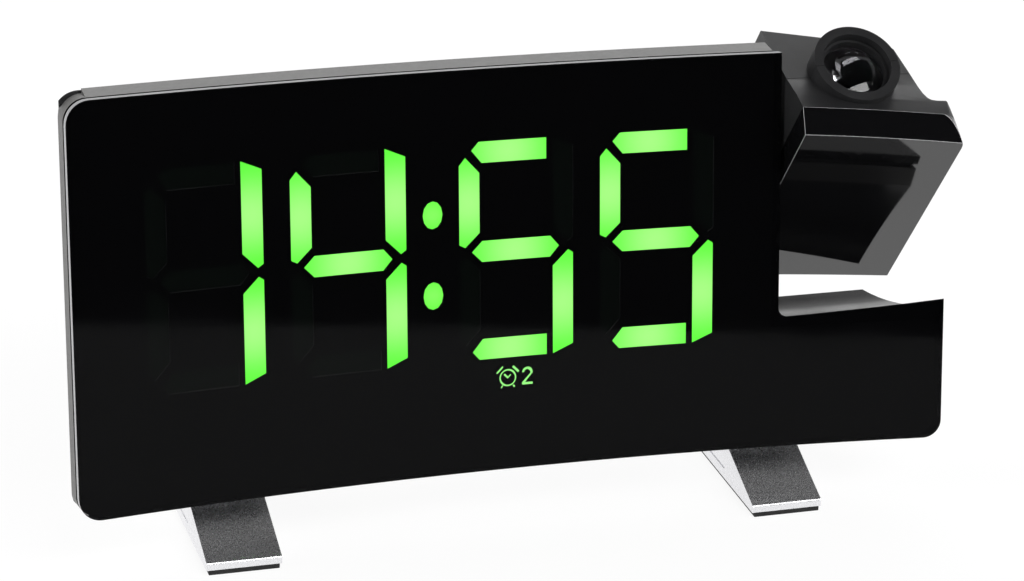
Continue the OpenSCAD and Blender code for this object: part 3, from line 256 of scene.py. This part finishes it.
def grain(tree, paint, scale, strength, depth):
    """A fine moulded texture as a bump."""
    bump = add_node(tree, "ShaderNodeBump", {
        "Height": soft_noise(tree, scale, 3).outputs["Fac"], "Strength": strength, "Distance": depth})
    tree.links.new(bump.outputs["Normal"], paint.inputs["Normal"])


def plastic(name, colour, low, high, scale, specular=0.5, texture=None):
    """One colour with a wandering roughness, and a grain where its scale, strength and depth are given."""
    material, tree, paint = new_material(name, colour, specular)
    varied(tree, paint, low, high, scale)
    if texture:
        grain(tree, paint, *texture)
    return material


smoked_acrylic, tree, paint = new_material("Smoked acrylic", (0.0022, 0.0022, 0.0026), specular=0.11)
paint.inputs["Alpha"].default_value = 0.6
varied(tree, paint, 0.025, 0.06, 60)
# Painted highlight: light grey for the panel's edges that look up or left, where the lamps show a bright
# line
edge_painted_highlight = plastic("Acrylic edge painted highlight", (0.2, 0.2, 0.21), 0.12, 0.25, 300)
black_edge = plastic("Black edge", (0.003, 0.003, 0.003), 0.2, 0.35, 300, specular=0.15)

# The back is printed black along the bottom, the right end and the notch; the film covers the rest
glued_back, tree, paint = new_material("Glued back", (0.0022, 0.0022, 0.0026), specular=0.0)
varied(tree, paint, 0.5, 0.6, 60)
upright = add_node(tree, "ShaderNodeMapping", {
    "Vector": add_node(tree, "ShaderNodeTexCoord").outputs["Object"], "Rotation": (lean, 0, 0),
    "Location": body_frame.inverted().translation})
axes = add_node(tree, "ShaderNodeSeparateXYZ", {0: upright.outputs["Vector"]})
across, height = axes.outputs["X"], axes.outputs["Z"]
past_right = computed(tree, "SUBTRACT", across, panel_right - panel_corner)
past_right = computed(tree, "MAXIMUM", past_right, 0.0)
past_bottom = computed(tree, "SUBTRACT", height, panel_corner)
past_bottom = computed(tree, "MINIMUM", past_bottom, 0.0)
from_corner = computed(tree, "ADD", computed(tree, "MULTIPLY", past_right, past_right),
                       computed(tree, "MULTIPLY", past_bottom, past_bottom))
at_rim = computed(tree, "GREATER_THAN", from_corner, (panel_corner - print_edge) ** 2)
at_notch = computed(tree, "MULTIPLY", computed(tree, "GREATER_THAN", across, notch_left - print_edge),
                    computed(tree, "GREATER_THAN", height, notch_floor - print_edge))
tree.links.new(computed(tree, "MAXIMUM", at_rim, at_notch), paint.inputs["Alpha"])


def follow_curve(piece, place, edge_slot=None):
    """Gives the faces that lie along the front's curve their true normals.

    With edge_slot, the edges that look up or left get that slot, which holds the painted highlight,
    the back the next one and the other edges the one after.
    """
    mesh = piece.data
    back = place.inverted()
    turn = place.to_3x3()
    normals = [Vector(corner.vector) for corner in mesh.corner_normals]
    for polygon in mesh.polygons:
        middle = back @ polygon.center
        side = turn.inverted() @ polygon.normal
        facing = side.dot(Vector((middle.x, middle.y - curve_middle, 0)).normalized())
        if abs(facing) < 0.9:
            if edge_slot is not None:
                # Edges that look up or left get the painted highlight, the rest the black edge
                gets_painted_highlight = side.z > 0.05 or (side.x < -0.5 and side.z > -0.3)
                polygon.material_index = edge_slot if gets_painted_highlight and middle.x < notch_left else edge_slot + 2
            continue
        if edge_slot is not None and facing > 0:
            polygon.material_index = edge_slot + 1
        for corner in polygon.loop_indices:
            point = back @ mesh.vertices[mesh.loops[corner].vertex_index].co
            true = Vector((point.x, point.y - curve_middle, 0)).normalized()
            normals[corner] = turn @ (true if facing > 0 else -true)
    mesh.normals_split_custom_set(normals)


front_panel = rounded_copy("front_panel_sheet", "front_panel", panel_edge_round, angle=40)
for material in (smoked_acrylic, edge_painted_highlight, glued_back, black_edge):
    front_panel.data.materials.append(material)
follow_curve(front_panel, body_frame, edge_slot=1)
for vert in front_panel.data.vertices:
    point = body_frame.inverted() @ vert.co
    radial = Vector((point.x, point.y - curve_middle, 0))
    if radial.length > panel_back:
        vert.co = body_frame @ (point - radial.normalized() * film_gap)
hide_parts("front_panel")
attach(front_panel, "clock")

# ---------------------------------------------------------------- display
# Light guides of milky plastic stand in the windows of a white frame, each over its own lamp, and
# a black film on the panel's back hides all the rest. The panel's smoked sheet lies over them.
guide_reach = 0.0115            # from a segment's middle to where its light has faded
dot_reach = 0.004
guide_level = 2.7
icon_level = 2.4
guide_base = (0.02, 0.04, 0.02)


def finish_node(node, *materials):
    nodes[node].data.materials.clear()
    for material in materials:
        nodes[node].data.materials.append(material)


def islands(node, place):
    """The loose solids of a CAD node, each as its lowest and highest corner in the frame place."""
    work = bmesh.new()
    work.from_mesh(nodes[node].data)
    bmesh.ops.remove_doubles(work, verts=work.verts, dist=weld)
    back = place.inverted()
    left = set(work.verts)
    boxes = []
    while left:
        reached = [left.pop()]
        island = list(reached)
        while reached:
            for edge in reached.pop().link_edges:
                for vert in edge.verts:
                    if vert in left:
                        left.discard(vert)
                        reached.append(vert)
                        island.append(vert)
        points = [back @ vert.co for vert in island]
        boxes.append((Vector(min(p[i] for p in points) for i in range(3)),
                      Vector(max(p[i] for p in points) for i in range(3))))
    work.free()
    return sorted(boxes, key=lambda box: tuple(box[0]))


def glowing(name, node, reach, bright, dim):
    """Milky plastic, brightest in the middle of each solid and deeper in colour away from it."""
    material, tree, paint = new_material(name, guide_base)
    place = add_node(tree, "ShaderNodeTexCoord").outputs["Object"]
    nearest = None
    for low, high in islands(node, Matrix.Identity(4)):
        away = add_node(tree, "ShaderNodeVectorMath", {0: place, 1: (low + high) / 2}, operation="DISTANCE")
        away = away.outputs["Value"]
        nearest = away if nearest is None else computed(tree, "MINIMUM", nearest, away)
    falloff = add_node(tree, "ShaderNodeMapRange", {
        "Value": nearest, "From Min": 0.0, "From Max": reach, "To Min": 0.0, "To Max": 1.0},
        interpolation_type="SMOOTHSTEP")
    colour = add_node(tree, "ShaderNodeValToRGB", {"Fac": falloff.outputs["Result"]})
    colour.color_ramp.elements[0].color = (*bright, 1)
    colour.color_ramp.elements[1].color = (*dim, 1)
    tree.links.new(colour.outputs["Color"], paint.inputs["Emission Color"])
    paint.inputs["Emission Strength"].default_value = guide_level
    paint.inputs["Roughness"].default_value = 0.5
    finish_node(node, material)


glowing("Lit guide", "lit_segments", guide_reach, (0.37, 1.0, 0.22), (0.115, 1.0, 0.045))
glowing("Lit dot", "colon_dots", dot_reach, (0.24, 1.0, 0.12), (0.13, 1.0, 0.05))
icon_plastic, tree, paint = new_material("Lit icon", guide_base)
paint.inputs["Emission Color"].default_value = (0.35, 1.0, 0.25, 1)
paint.inputs["Emission Strength"].default_value = icon_level
varied(tree, paint, 0.4, 0.6, 900)
finish_node("alarm_icon", icon_plastic)
finish_node("unlit_segments", plastic("Unlit guide", (0.004, 0.009, 0.005), 0.4, 0.6, 900, specular=0.05))
black_film = plastic("Black film", (0.002, 0.002, 0.0022), 0.5, 0.7, 700, specular=0.02)
finish_node("display_mask", black_film)


def finish(name, colour, low, high, scale, metallic=0.0, bump=0.0):
    """A material whose colour and roughness wander together, with a fine grain where bump is set."""
    spread = 0.12
    material, tree, paint = new_material(name, colour)
    paint.inputs["Metallic"].default_value = metallic
    noise = varied(tree, paint, low, high, scale)
    shade = add_node(tree, "ShaderNodeMix", {
        "Factor": noise.outputs["Fac"], "A": (*(c * (1 - spread) for c in colour), 1),
        "B": (*(min(1, c * (1 + spread)) for c in colour), 1)}, data_type="RGBA")
    tree.links.new(shade.outputs["Result"], paint.inputs["Base Color"])
    if bump:
        grain(tree, paint, scale * 12, bump, 0.00003)
    return material


board_green = finish("Board green", (0.02, 0.11, 0.045), 0.25, 0.4, 350, bump=0.1)
finish_node("display_frame", finish("Frame white", (0.75, 0.75, 0.73), 0.45, 0.65, 500, bump=0.1))
finish_node("display_board", board_green)
finish_node("led_chips", finish("Lamp resin", (0.75, 0.72, 0.45), 0.2, 0.35, 900))

# ---------------------------------------------------------------- bezel
# Band of grey satin plastic that flares out behind the panel, with the ledge that carries the
# panel. Screws from the back hold it to the housing.
bezel_grey = plastic("Bezel grey", (0.08, 0.079, 0.077), 0.33, 0.4, 1300, specular=0.15,
                     texture=(4500, 0.12, 0.00002))
front_bezel = rounded_copy("bezel_band", "front_bezel", 0.00012, angle=35)
front_bezel.data.materials.append(bezel_grey)
front_bezel.data.materials.append(black_film)
to_body = body_frame.to_3x3().inverted()
for polygon in front_bezel.data.polygons:
    if (to_body @ polygon.normal).y < -0.8:
        polygon.material_index = 1      # painted shade: the faces that look to the front, under the panel's glued edge, are black for the dark gap between panel and bezel
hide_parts("front_bezel")
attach(front_bezel, "clock")

# ---------------------------------------------------------------- housing
# The body behind the bezel, moulded in dark matte plastic, with openings for the keys, the snooze
# bar, the power socket and the speaker. A door on its lower edge closes the cell's bay.
housing_black = plastic("Housing plastic", (0.014, 0.014, 0.015), 0.17, 0.25, 120,
                        texture=(2600, 0.12, 0.00002))
rear_housing = rounded_copy("housing_body", "rear_housing", 0.0, angle=35)
rear_housing.data.materials.append(housing_black)
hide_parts("rear_housing")
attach(rear_housing, "clock")

battery_door = rounded_copy("battery_lid", "battery_door", 0.0002, angle=35)
battery_door.data.materials.append(housing_black)
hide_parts("battery_door")
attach(battery_door, "battery_lid")

# ---------------------------------------------------------------- boards and cell
# The main board stands on posts behind the display, with its chips and a ribbon to the display;
# small boards carry the keys, the snooze switch and the power socket. A clip holds the clock's cell.
chip_black = finish("Chip black", (0.02, 0.02, 0.022), 0.35, 0.5, 600, bump=0.1)
steel_bright = finish("Bright steel", (0.6, 0.6, 0.61), 0.18, 0.35, 400, metallic=1.0)
for node in ("main_board", "button_board", "snooze_board", "power_board"):
    finish_node(node, board_green)
finish_node("board_parts", chip_black)
finish_node("tact_switches", chip_black)
finish_node("ribbon_cable", finish("Ribbon grey", (0.55, 0.55, 0.57), 0.4, 0.6, 700, bump=0.15))
finish_node("coin_cell_holder", finish("Clip nylon", (0.03, 0.03, 0.03), 0.4, 0.55, 500, bump=0.1))
finish_node("coin_cell", steel_bright)
finish_node("board_screws", steel_bright)
finish_node("dc_jack", finish("Jack black", (0.012, 0.012, 0.013), 0.25, 0.4, 500, bump=0.1))

# ---------------------------------------------------------------- speaker
# A small speaker that sounds through the round of holes in the back. Its paper cone hangs in a
# pressed steel frame, which is glued into a collar inside the housing.
finish_node("speaker_frame", finish("Pressed steel", (0.32, 0.32, 0.33), 0.3, 0.45, 300, metallic=0.9))
finish_node("speaker_cone", finish("Cone paper", (0.025, 0.024, 0.022), 0.75, 0.95, 900, bump=0.4))

# ---------------------------------------------------------------- housing screws
# Five black cross-head screws sunk in the back hold the housing to the bezel's bosses. Their frame
# is the body's, with Z turned to the back.
outward = Matrix.Rotation(math.radians(-90), 4, "X")
housing_head = 0.0016


def new_tree(name, sizes):
    """A Geometry Nodes tree with named inputs; returns the tree, its input and its output node."""
    tree = bpy.data.node_groups.new(name, "GeometryNodeTree")
    tree.interface.new_socket("Geometry", in_out="INPUT", socket_type="NodeSocketGeometry")
    for label, kind, value in sizes:
        socket = tree.interface.new_socket(label, in_out="INPUT", socket_type="NodeSocket" + kind)
        socket.default_value = value
    tree.interface.new_socket("Geometry", in_out="OUTPUT", socket_type="NodeSocketGeometry")
    return tree, tree.nodes.new("NodeGroupInput"), tree.nodes.new("NodeGroupOutput")


def placed_on(tree, points, geometry, material, end, **settings):
    """Ends a tree: the geometry on every point, made real and given its material."""
    links = {"Points": points, "Instance": geometry}
    links.update(settings)
    copies = add_node(tree, "GeometryNodeInstanceOnPoints", links)
    made_real = add_node(tree, "GeometryNodeRealizeInstances", {"Geometry": copies.outputs[0]})
    dressed = add_node(tree, "GeometryNodeSetMaterial", {
        "Geometry": made_real.outputs[0], "Material": material})
    tree.links.new(dressed.outputs[0], end.inputs[0])


def grown(name, points, tree, values, place):
    """Runs a tree on a mesh of points and keeps the result as a plain mesh in the frame place."""
    mesh = bpy.data.meshes.new(name)
    mesh.from_pydata(points, [], [])
    source = bpy.data.objects.new(name + "_points", mesh)
    scene.collection.objects.link(source)
    modifier = source.modifiers.new("Grow", "NODES")
    modifier.node_group = tree
    sockets = {item.name: item.identifier for item in tree.interface.items_tree
               if item.item_type == "SOCKET" and item.in_out == "INPUT"}
    for label, value in values.items():
        modifier[sockets[label]] = value
    bpy.context.view_layer.update()
    shaped = source.evaluated_get(bpy.context.evaluated_depsgraph_get())
    mesh = bpy.data.meshes.new_from_object(shaped)
    mesh.transform(place)
    mesh.name = name
    bpy.data.objects.remove(source)
    piece = bpy.data.objects.new(name, mesh)
    scene.collection.objects.link(piece)
    return piece


def lifted(tree, geometry, length, share):
    """Moves geometry along Z by a share of a length that comes from a socket."""
    up = add_node(tree, "ShaderNodeCombineXYZ", {"Z": computed(tree, "MULTIPLY", length, share)})
    moved = add_node(tree, "GeometryNodeTransform", {"Geometry": geometry, "Translation": up.outputs[0]})
    return moved.outputs[0]


def joined(tree, *parts):
    together = add_node(tree, "GeometryNodeJoinGeometry")
    for part in parts:
        tree.links.new(part, together.inputs[0])
    return together.outputs[0]


def screw_places(node, place, head):
    """Where each screw's head starts, and the length of the shortest screw."""
    boxes = islands(node, place)
    starts = [((low.x + high.x) / 2, (low.y + high.y) / 2, high.z - head) for low, high in boxes]
    return starts, min(high.z - low.z for low, high in boxes)


screw_black = finish("Screw black", (0.035, 0.035, 0.037), 0.25, 0.4, 500, metallic=0.8, bump=0.05)
screw_tree, given, end = new_tree("Cross head screws", (
    ("Head radius", "Float", 0.0025), ("Head height", "Float", 0.0016), ("Shank radius", "Float", 0.00135),
    ("Shank length", "Float", 0.01), ("Slot width", "Float", 0.0006), ("Seed", "Int", 3)))
head_radius, head_height = given.outputs["Head radius"], given.outputs["Head height"]
head = add_node(screw_tree, "GeometryNodeMeshCone", {
    "Vertices": 28, "Radius Top": computed(screw_tree, "MULTIPLY", head_radius, 0.82),
    "Radius Bottom": head_radius, "Depth": head_height})
bar = add_node(screw_tree, "ShaderNodeCombineXYZ", {
    "X": computed(screw_tree, "MULTIPLY", head_radius, 1.15), "Y": given.outputs["Slot width"],
    "Z": head_height})
slot = add_node(screw_tree, "GeometryNodeMeshCube", {"Size": bar.outputs[0]})
slot_low = lifted(screw_tree, slot.outputs["Mesh"], head_height, 0.95)
slot_turned = add_node(screw_tree, "GeometryNodeTransform", {
    "Geometry": slot_low, "Rotation": (0, 0, math.radians(90))})
cut = add_node(screw_tree, "GeometryNodeMeshBoolean", {"Mesh 1": head.outputs["Mesh"]},
               operation="DIFFERENCE")
screw_tree.links.new(slot_low, cut.inputs["Mesh 2"])
screw_tree.links.new(slot_turned.outputs[0], cut.inputs["Mesh 2"])
shank_length = given.outputs["Shank length"]
shank = add_node(screw_tree, "GeometryNodeMeshCylinder", {
    "Vertices": 16, "Radius": given.outputs["Shank radius"], "Depth": shank_length})
shank_low = lifted(screw_tree, shank.outputs["Mesh"], shank_length, -0.49)
screw = joined(screw_tree, cut.outputs["Mesh"], shank_low)
spin = add_node(screw_tree, "FunctionNodeRandomValue", {"Seed": given.outputs["Seed"]},
                data_type="FLOAT_VECTOR")
spin.inputs["Min"].default_value = (0, 0, 0)
spin.inputs["Max"].default_value = (0, 0, 1.5)
placed_on(screw_tree, given.outputs["Geometry"], screw, screw_black, end, Rotation=spin.outputs["Value"])

housing_starts, housing_length = screw_places("housing_screws", body_frame @ outward, housing_head)
housing_screws = grown("housing_screw_set", housing_starts, screw_tree,
                       {"Head radius": 0.00245, "Head height": 0.00155,
                        "Shank length": housing_length - 0.002},
                       body_frame @ outward)
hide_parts("housing_screws")
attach(housing_screws, "clock")

# ---------------------------------------------------------------- buttons and snooze bar
# Six round keys in the back and a long bar let into the top. Three ridges on the bar are for the
# finger that feels for it in the dark.
key_edge_round = 0.0003
button_black = plastic("Button plastic", (0.02, 0.02, 0.021), 0.35, 0.5, 300, texture=(3500, 0.15, 0.00002))
for node, body in (("time_button", "time_key"), ("alarm_one_button", "alarm_one_key"),
                   ("alarm_two_button", "alarm_two_key"), ("up_button", "up_key"),
                   ("down_button", "down_key"), ("dimmer_button", "dimmer_key"),
                   ("snooze_bar", "snooze")):
    button = rounded_copy(node + "_cap", node, key_edge_round, angle=35, segments=3)
    button.data.materials.append(button_black)
    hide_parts(node)
    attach(button, body)

ridge_tree, given, end = new_tree("Finger ridges", (
    ("Count", "Int", 3), ("Pitch", "Float", 0.0018), ("Length", "Float", 0.05), ("Radius", "Float", 0.0003)))
step = add_node(ridge_tree, "ShaderNodeCombineXYZ", {"Y": given.outputs["Pitch"]})
row = add_node(ridge_tree, "GeometryNodeMeshLine", {
    "Count": given.outputs["Count"], "Offset": step.outputs[0]})
ridge = add_node(ridge_tree, "GeometryNodeMeshCylinder", {
    "Vertices": 12, "Side Segments": 20, "Radius": given.outputs["Radius"],
    "Depth": given.outputs["Length"]})
lying = add_node(ridge_tree, "GeometryNodeTransform", {
    "Geometry": ridge.outputs["Mesh"], "Rotation": (0, math.radians(90), 0)})
placed_on(ridge_tree, row.outputs[0], lying.outputs[0], button_black, end)

# The top slopes down to the back, and the ridges are bent along the front's curve
slope = math.radians(16)
slope_start = 0.0074
slope_height = 0.0886
bar_start = 0.011
ridge_start = 0.0055
ridge_lift = 0.00008
snooze_low, snooze_high = islands("snooze_bar", body_frame)[0]
bar_middle = (snooze_low.x + snooze_high.x) / 2
ridge_piece = grown("snooze_ridges", [(0, 0, 0)], ridge_tree, {"Length": 0.05}, Matrix.Identity(4))
for vert in ridge_piece.data.vertices:
    x = bar_middle + vert.co.x
    arc = math.sqrt(curve_radius ** 2 - x * x) - curve_radius + curve_depth
    depth = bar_start + (vert.co.y + ridge_start) * math.cos(slope)
    height = slope_height - (depth - slope_start) * math.tan(slope) + ridge_lift + vert.co.z
    vert.co = body_frame @ Vector((x, arc + depth, height))
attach(ridge_piece, "snooze")

# ---------------------------------------------------------------- feet
# Two wedge feet in silver metallic paint that lean the clock back. Each is screwed to the
# underside and stands on a glued sole of black rubber.
flake_scale = 4200
silver_paint, tree, paint = new_material("Silver paint", (0.86, 0.86, 0.88))
paint.inputs["Metallic"].default_value = 0.9
place = add_node(tree, "ShaderNodeTexCoord")
size = add_node(tree, "ShaderNodeMapping", {"Vector": place.outputs["Object"], "Scale": (flake_scale,) * 3})
flakes = add_node(tree, "ShaderNodeTexVoronoi", {"Vector": size.outputs["Vector"], "Scale": 1.0})
sheen = add_node(tree, "ShaderNodeMapRange", {
    "Value": flakes.outputs["Color"], "To Min": 0.18, "To Max": 0.38})
tree.links.new(sheen.outputs["Result"], paint.inputs["Roughness"])
bump = add_node(tree, "ShaderNodeBump", {
    "Height": flakes.outputs["Color"], "Strength": 0.2, "Distance": 0.00004})
tree.links.new(bump.outputs["Normal"], paint.inputs["Normal"])
rubber_black = plastic("Black rubber", (0.012, 0.012, 0.012), 0.7, 0.9, 400, texture=(1800, 0.3, 0.00005))

for side in ("left", "right"):
    foot = rounded_copy(side + "_foot_body", side + "_foot", 0.0002, angle=20)
    foot.data.materials.append(silver_paint)
    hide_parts(side + "_foot")
    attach(foot, "clock")
    pad = rounded_copy(side + "_pad", side + "_foot_pad", 0.00015)
    pad.data.materials.append(rubber_black)
    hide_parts(side + "_foot_pad")
    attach(pad, "clock")
finish_node("foot_screws", steel_bright)

# ---------------------------------------------------------------- projector
# A gloss black cover on the front, a matte casing in two halves behind it, split through the
# lens. It swings on a hollow shaft and is turned forward in the photograph.
hinge = Matrix.Translation((0, 0.0185, 0.066))
turned_forward = Matrix.Rotation(math.radians(45.25), 4, "X")
projector_frame = body_frame @ hinge @ turned_forward @ hinge.inverted()
to_projector = projector_frame.inverted()
cover_edge_round = 0.00045
highlight_strip = 0.0009              # how wide the painted highlight strip at the cover's left end is

gloss_black = plastic("Gloss black", (0.004, 0.004, 0.0045), 0.03, 0.07, 90, specular=0.85)
# Painted highlight: the cover's bevels along its top front edge and its left end are light grey, for the
# thin bright line the lamps make there
cover_painted_highlight = plastic("Cover edge painted highlight", (0.42, 0.42, 0.43), 0.08, 0.16, 300, specular=0.85)
projector_cover = rounded_copy("projector_face", "projector_cover", cover_edge_round, angle=20, segments=3,
                               edge_slot=1)
projector_cover.data.materials.append(gloss_black)
projector_cover.data.materials.append(cover_painted_highlight)
cover_left = min((to_projector @ vert.co).x for vert in projector_cover.data.vertices)
# Only those bevels keep the painted highlight; every other face is gloss black
for polygon in projector_cover.data.polygons:
    middle = to_projector @ polygon.center
    side = to_projector.to_3x3() @ polygon.normal
    bright = side.y < -0.2 and (side.z > 0.2 or middle.x < cover_left + highlight_strip)
    polygon.material_index = 1 if polygon.material_index == 1 and bright else 0
follow_curve(projector_cover, projector_frame)
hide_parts("projector_cover")
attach(projector_cover, "projector")

casing_black = plastic("Casing plastic", (0.015, 0.015, 0.016), 0.36, 0.48, 200, specular=0.35,
                       texture=(5200, 0.3, 0.00003))
for name, node in (("casing_front", "projector_front_shell"),
                   ("casing_rear", "projector_rear_shell")):
    shell = rounded_copy(name, node, 0.0, angle=20)
    shell.data.materials.append(casing_black)
    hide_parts(node)
    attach(shell, "projector")

casing_head = 0.0012
casing_starts, casing_length = screw_places("projector_screws", projector_frame @ outward, casing_head)
projector_screws = grown("casing_screw_set", casing_starts, screw_tree,
                         {"Head radius": 0.00185, "Head height": 0.00115, "Shank radius": 0.0009,
                          "Shank length": casing_length - 0.0016, "Slot width": 0.00045, "Seed": 5},
                         projector_frame @ outward)
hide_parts("projector_screws")
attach(projector_screws, "projector")

# ---------------------------------------------------------------- hinge
# A hollow shaft through a nylon bushing in the notch's wall, held by a spring washer and a clip.
# The lamp's two wires run through it.
finish_node("hinge_shaft", casing_black)
finish_node("hinge_bushing", finish("Bushing nylon", (0.62, 0.61, 0.57), 0.4, 0.55, 400, bump=0.1))
finish_node("spring_washer", steel_bright)
finish_node("retaining_clip", steel_bright)
finish_node("projector_wires", finish("Wire red", (0.45, 0.02, 0.015), 0.35, 0.5, 500, bump=0.05))

# ---------------------------------------------------------------- light path and focus wheel
# A square tube holds the green lamp, the condenser and the liquid-crystal slide. The lens sits in
# a barrel that slides in its ring, moved by the knurled rim of a thumb wheel at the back.
finish_node("optic_holder", finish("Tube black", (0.015, 0.015, 0.015), 0.6, 0.8, 400, bump=0.2))
finish_node("projection_led", finish("Lamp lens", (0.7, 0.78, 0.68), 0.1, 0.25, 700))
finish_node("lcd_slide", finish("Crystal slide", (0.05, 0.08, 0.06), 0.08, 0.2, 500))
finish_node("lens_barrel", casing_black)

wheel_tree, given, end = new_tree("Thumb wheel", (
    ("Teeth", "Int", 30), ("Radius", "Float", 0.0044), ("Groove", "Float", 0.00035),
    ("Width", "Float", 0.004), ("Axle radius", "Float", 0.001), ("Axle length", "Float", 0.0076)))
rim = add_node(wheel_tree, "GeometryNodeMeshCylinder", {
    "Vertices": computed(wheel_tree, "MULTIPLY", given.outputs["Teeth"], 4.0),
    "Radius": given.outputs["Radius"], "Depth": given.outputs["Width"]})
# Of every four points of the rim, two lie in a groove
phase = computed(wheel_tree, "MODULO", add_node(wheel_tree, "GeometryNodeInputIndex").outputs[0], 4.0)
in_groove = add_node(wheel_tree, "FunctionNodeCompare", {"A": phase, "B": 2.0},
                     data_type="FLOAT", operation="LESS_THAN")
share_in = computed(wheel_tree, "DIVIDE", given.outputs["Groove"], given.outputs["Radius"])
shrink = computed(wheel_tree, "SUBTRACT", 1.0, share_in)
keep_z = add_node(wheel_tree, "ShaderNodeCombineXYZ", {"X": shrink, "Y": shrink, "Z": 1.0})
drawn_in = add_node(wheel_tree, "ShaderNodeVectorMath", {
    0: add_node(wheel_tree, "GeometryNodeInputPosition").outputs[0], 1: keep_z.outputs[0]},
    operation="MULTIPLY")
knurled = add_node(wheel_tree, "GeometryNodeSetPosition", {
    "Geometry": rim.outputs["Mesh"], "Selection": in_groove.outputs[0], "Position": drawn_in.outputs[0]})
axle = add_node(wheel_tree, "GeometryNodeMeshCylinder", {
    "Vertices": 20, "Radius": given.outputs["Axle radius"], "Depth": given.outputs["Axle length"]})
placed_on(wheel_tree, given.outputs["Geometry"],
          joined(wheel_tree, knurled.outputs[0], axle.outputs["Mesh"]), button_black, end)
wheel_low, wheel_high = islands("focus_wheel", projector_frame)[0]
sideways = Matrix.Translation((wheel_low + wheel_high) / 2) @ Matrix.Rotation(math.radians(90), 4, "Y")
focus_wheel = grown("thumb_wheel", [(0, 0, 0)], wheel_tree, {"Teeth": 30}, projector_frame @ sideways)
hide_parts("focus_wheel")
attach(focus_wheel, "wheel")

# ---------------------------------------------------------------- lens
# A clear lens that bulges on both sides, moulded in acrylic and pressed into the barrel. The
# condenser between lamp and slide is of the same acrylic.
front_bend = 0.014
back_bend = 0.02
lens_steps = 18
lens_turns = 64

lens_glass, tree, paint = new_material("Lens glass", (0.9, 0.9, 0.95))
paint.inputs["Roughness"].default_value = 0.01
paint.inputs["Transmission Weight"].default_value = 1.0
paint.inputs["IOR"].default_value = 1.49
finish_node("condenser_lens", lens_glass)

lens_low, lens_high = islands("projection_lens", projector_frame)[0]
lens_radius = (lens_high.x - lens_low.x) / 2
radii = [lens_radius * k / lens_steps for k in range(lens_steps + 1)]
front_line = [(r, lens_high.z - front_bend + math.sqrt(front_bend ** 2 - r * r)) for r in radii]
back_line = [(r, lens_low.z + back_bend - math.sqrt(back_bend ** 2 - r * r)) for r in radii]
rings = front_line[1:] + back_line[:0:-1]
turns = [math.radians(360) * k / lens_turns for k in range(lens_turns)]
points = [(0, 0, front_line[0][1]), (0, 0, back_line[0][1])]
points += [(r * math.cos(turn), r * math.sin(turn), z) for r, z in rings for turn in turns]
faces = []
for k in range(lens_turns):
    strip = [(2 + ring * lens_turns + k, 2 + ring * lens_turns + (k + 1) % lens_turns)
             for ring in range(len(rings))]
    faces.append((0, *strip[0]))
    faces += [(a, c, d, b) for (a, b), (c, d) in zip(strip, strip[1:])]
    faces.append((1, *strip[-1][::-1]))
lens_mesh = bpy.data.meshes.new("lens_dome")
lens_mesh.from_pydata(points, [], faces)
for polygon in lens_mesh.polygons:
    polygon.use_smooth = True
lens_mesh.set_sharp_from_angle(angle=math.radians(40))
lens_mesh.transform(projector_frame @ Matrix.Translation(((lens_low.x + lens_high.x) / 2,
                                                          (lens_low.y + lens_high.y) / 2, 0)))
lens_mesh.materials.append(lens_glass)
lens = bpy.data.objects.new("lens_dome", lens_mesh)
scene.collection.objects.link(lens)
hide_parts("projection_lens")
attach(lens, "lens")
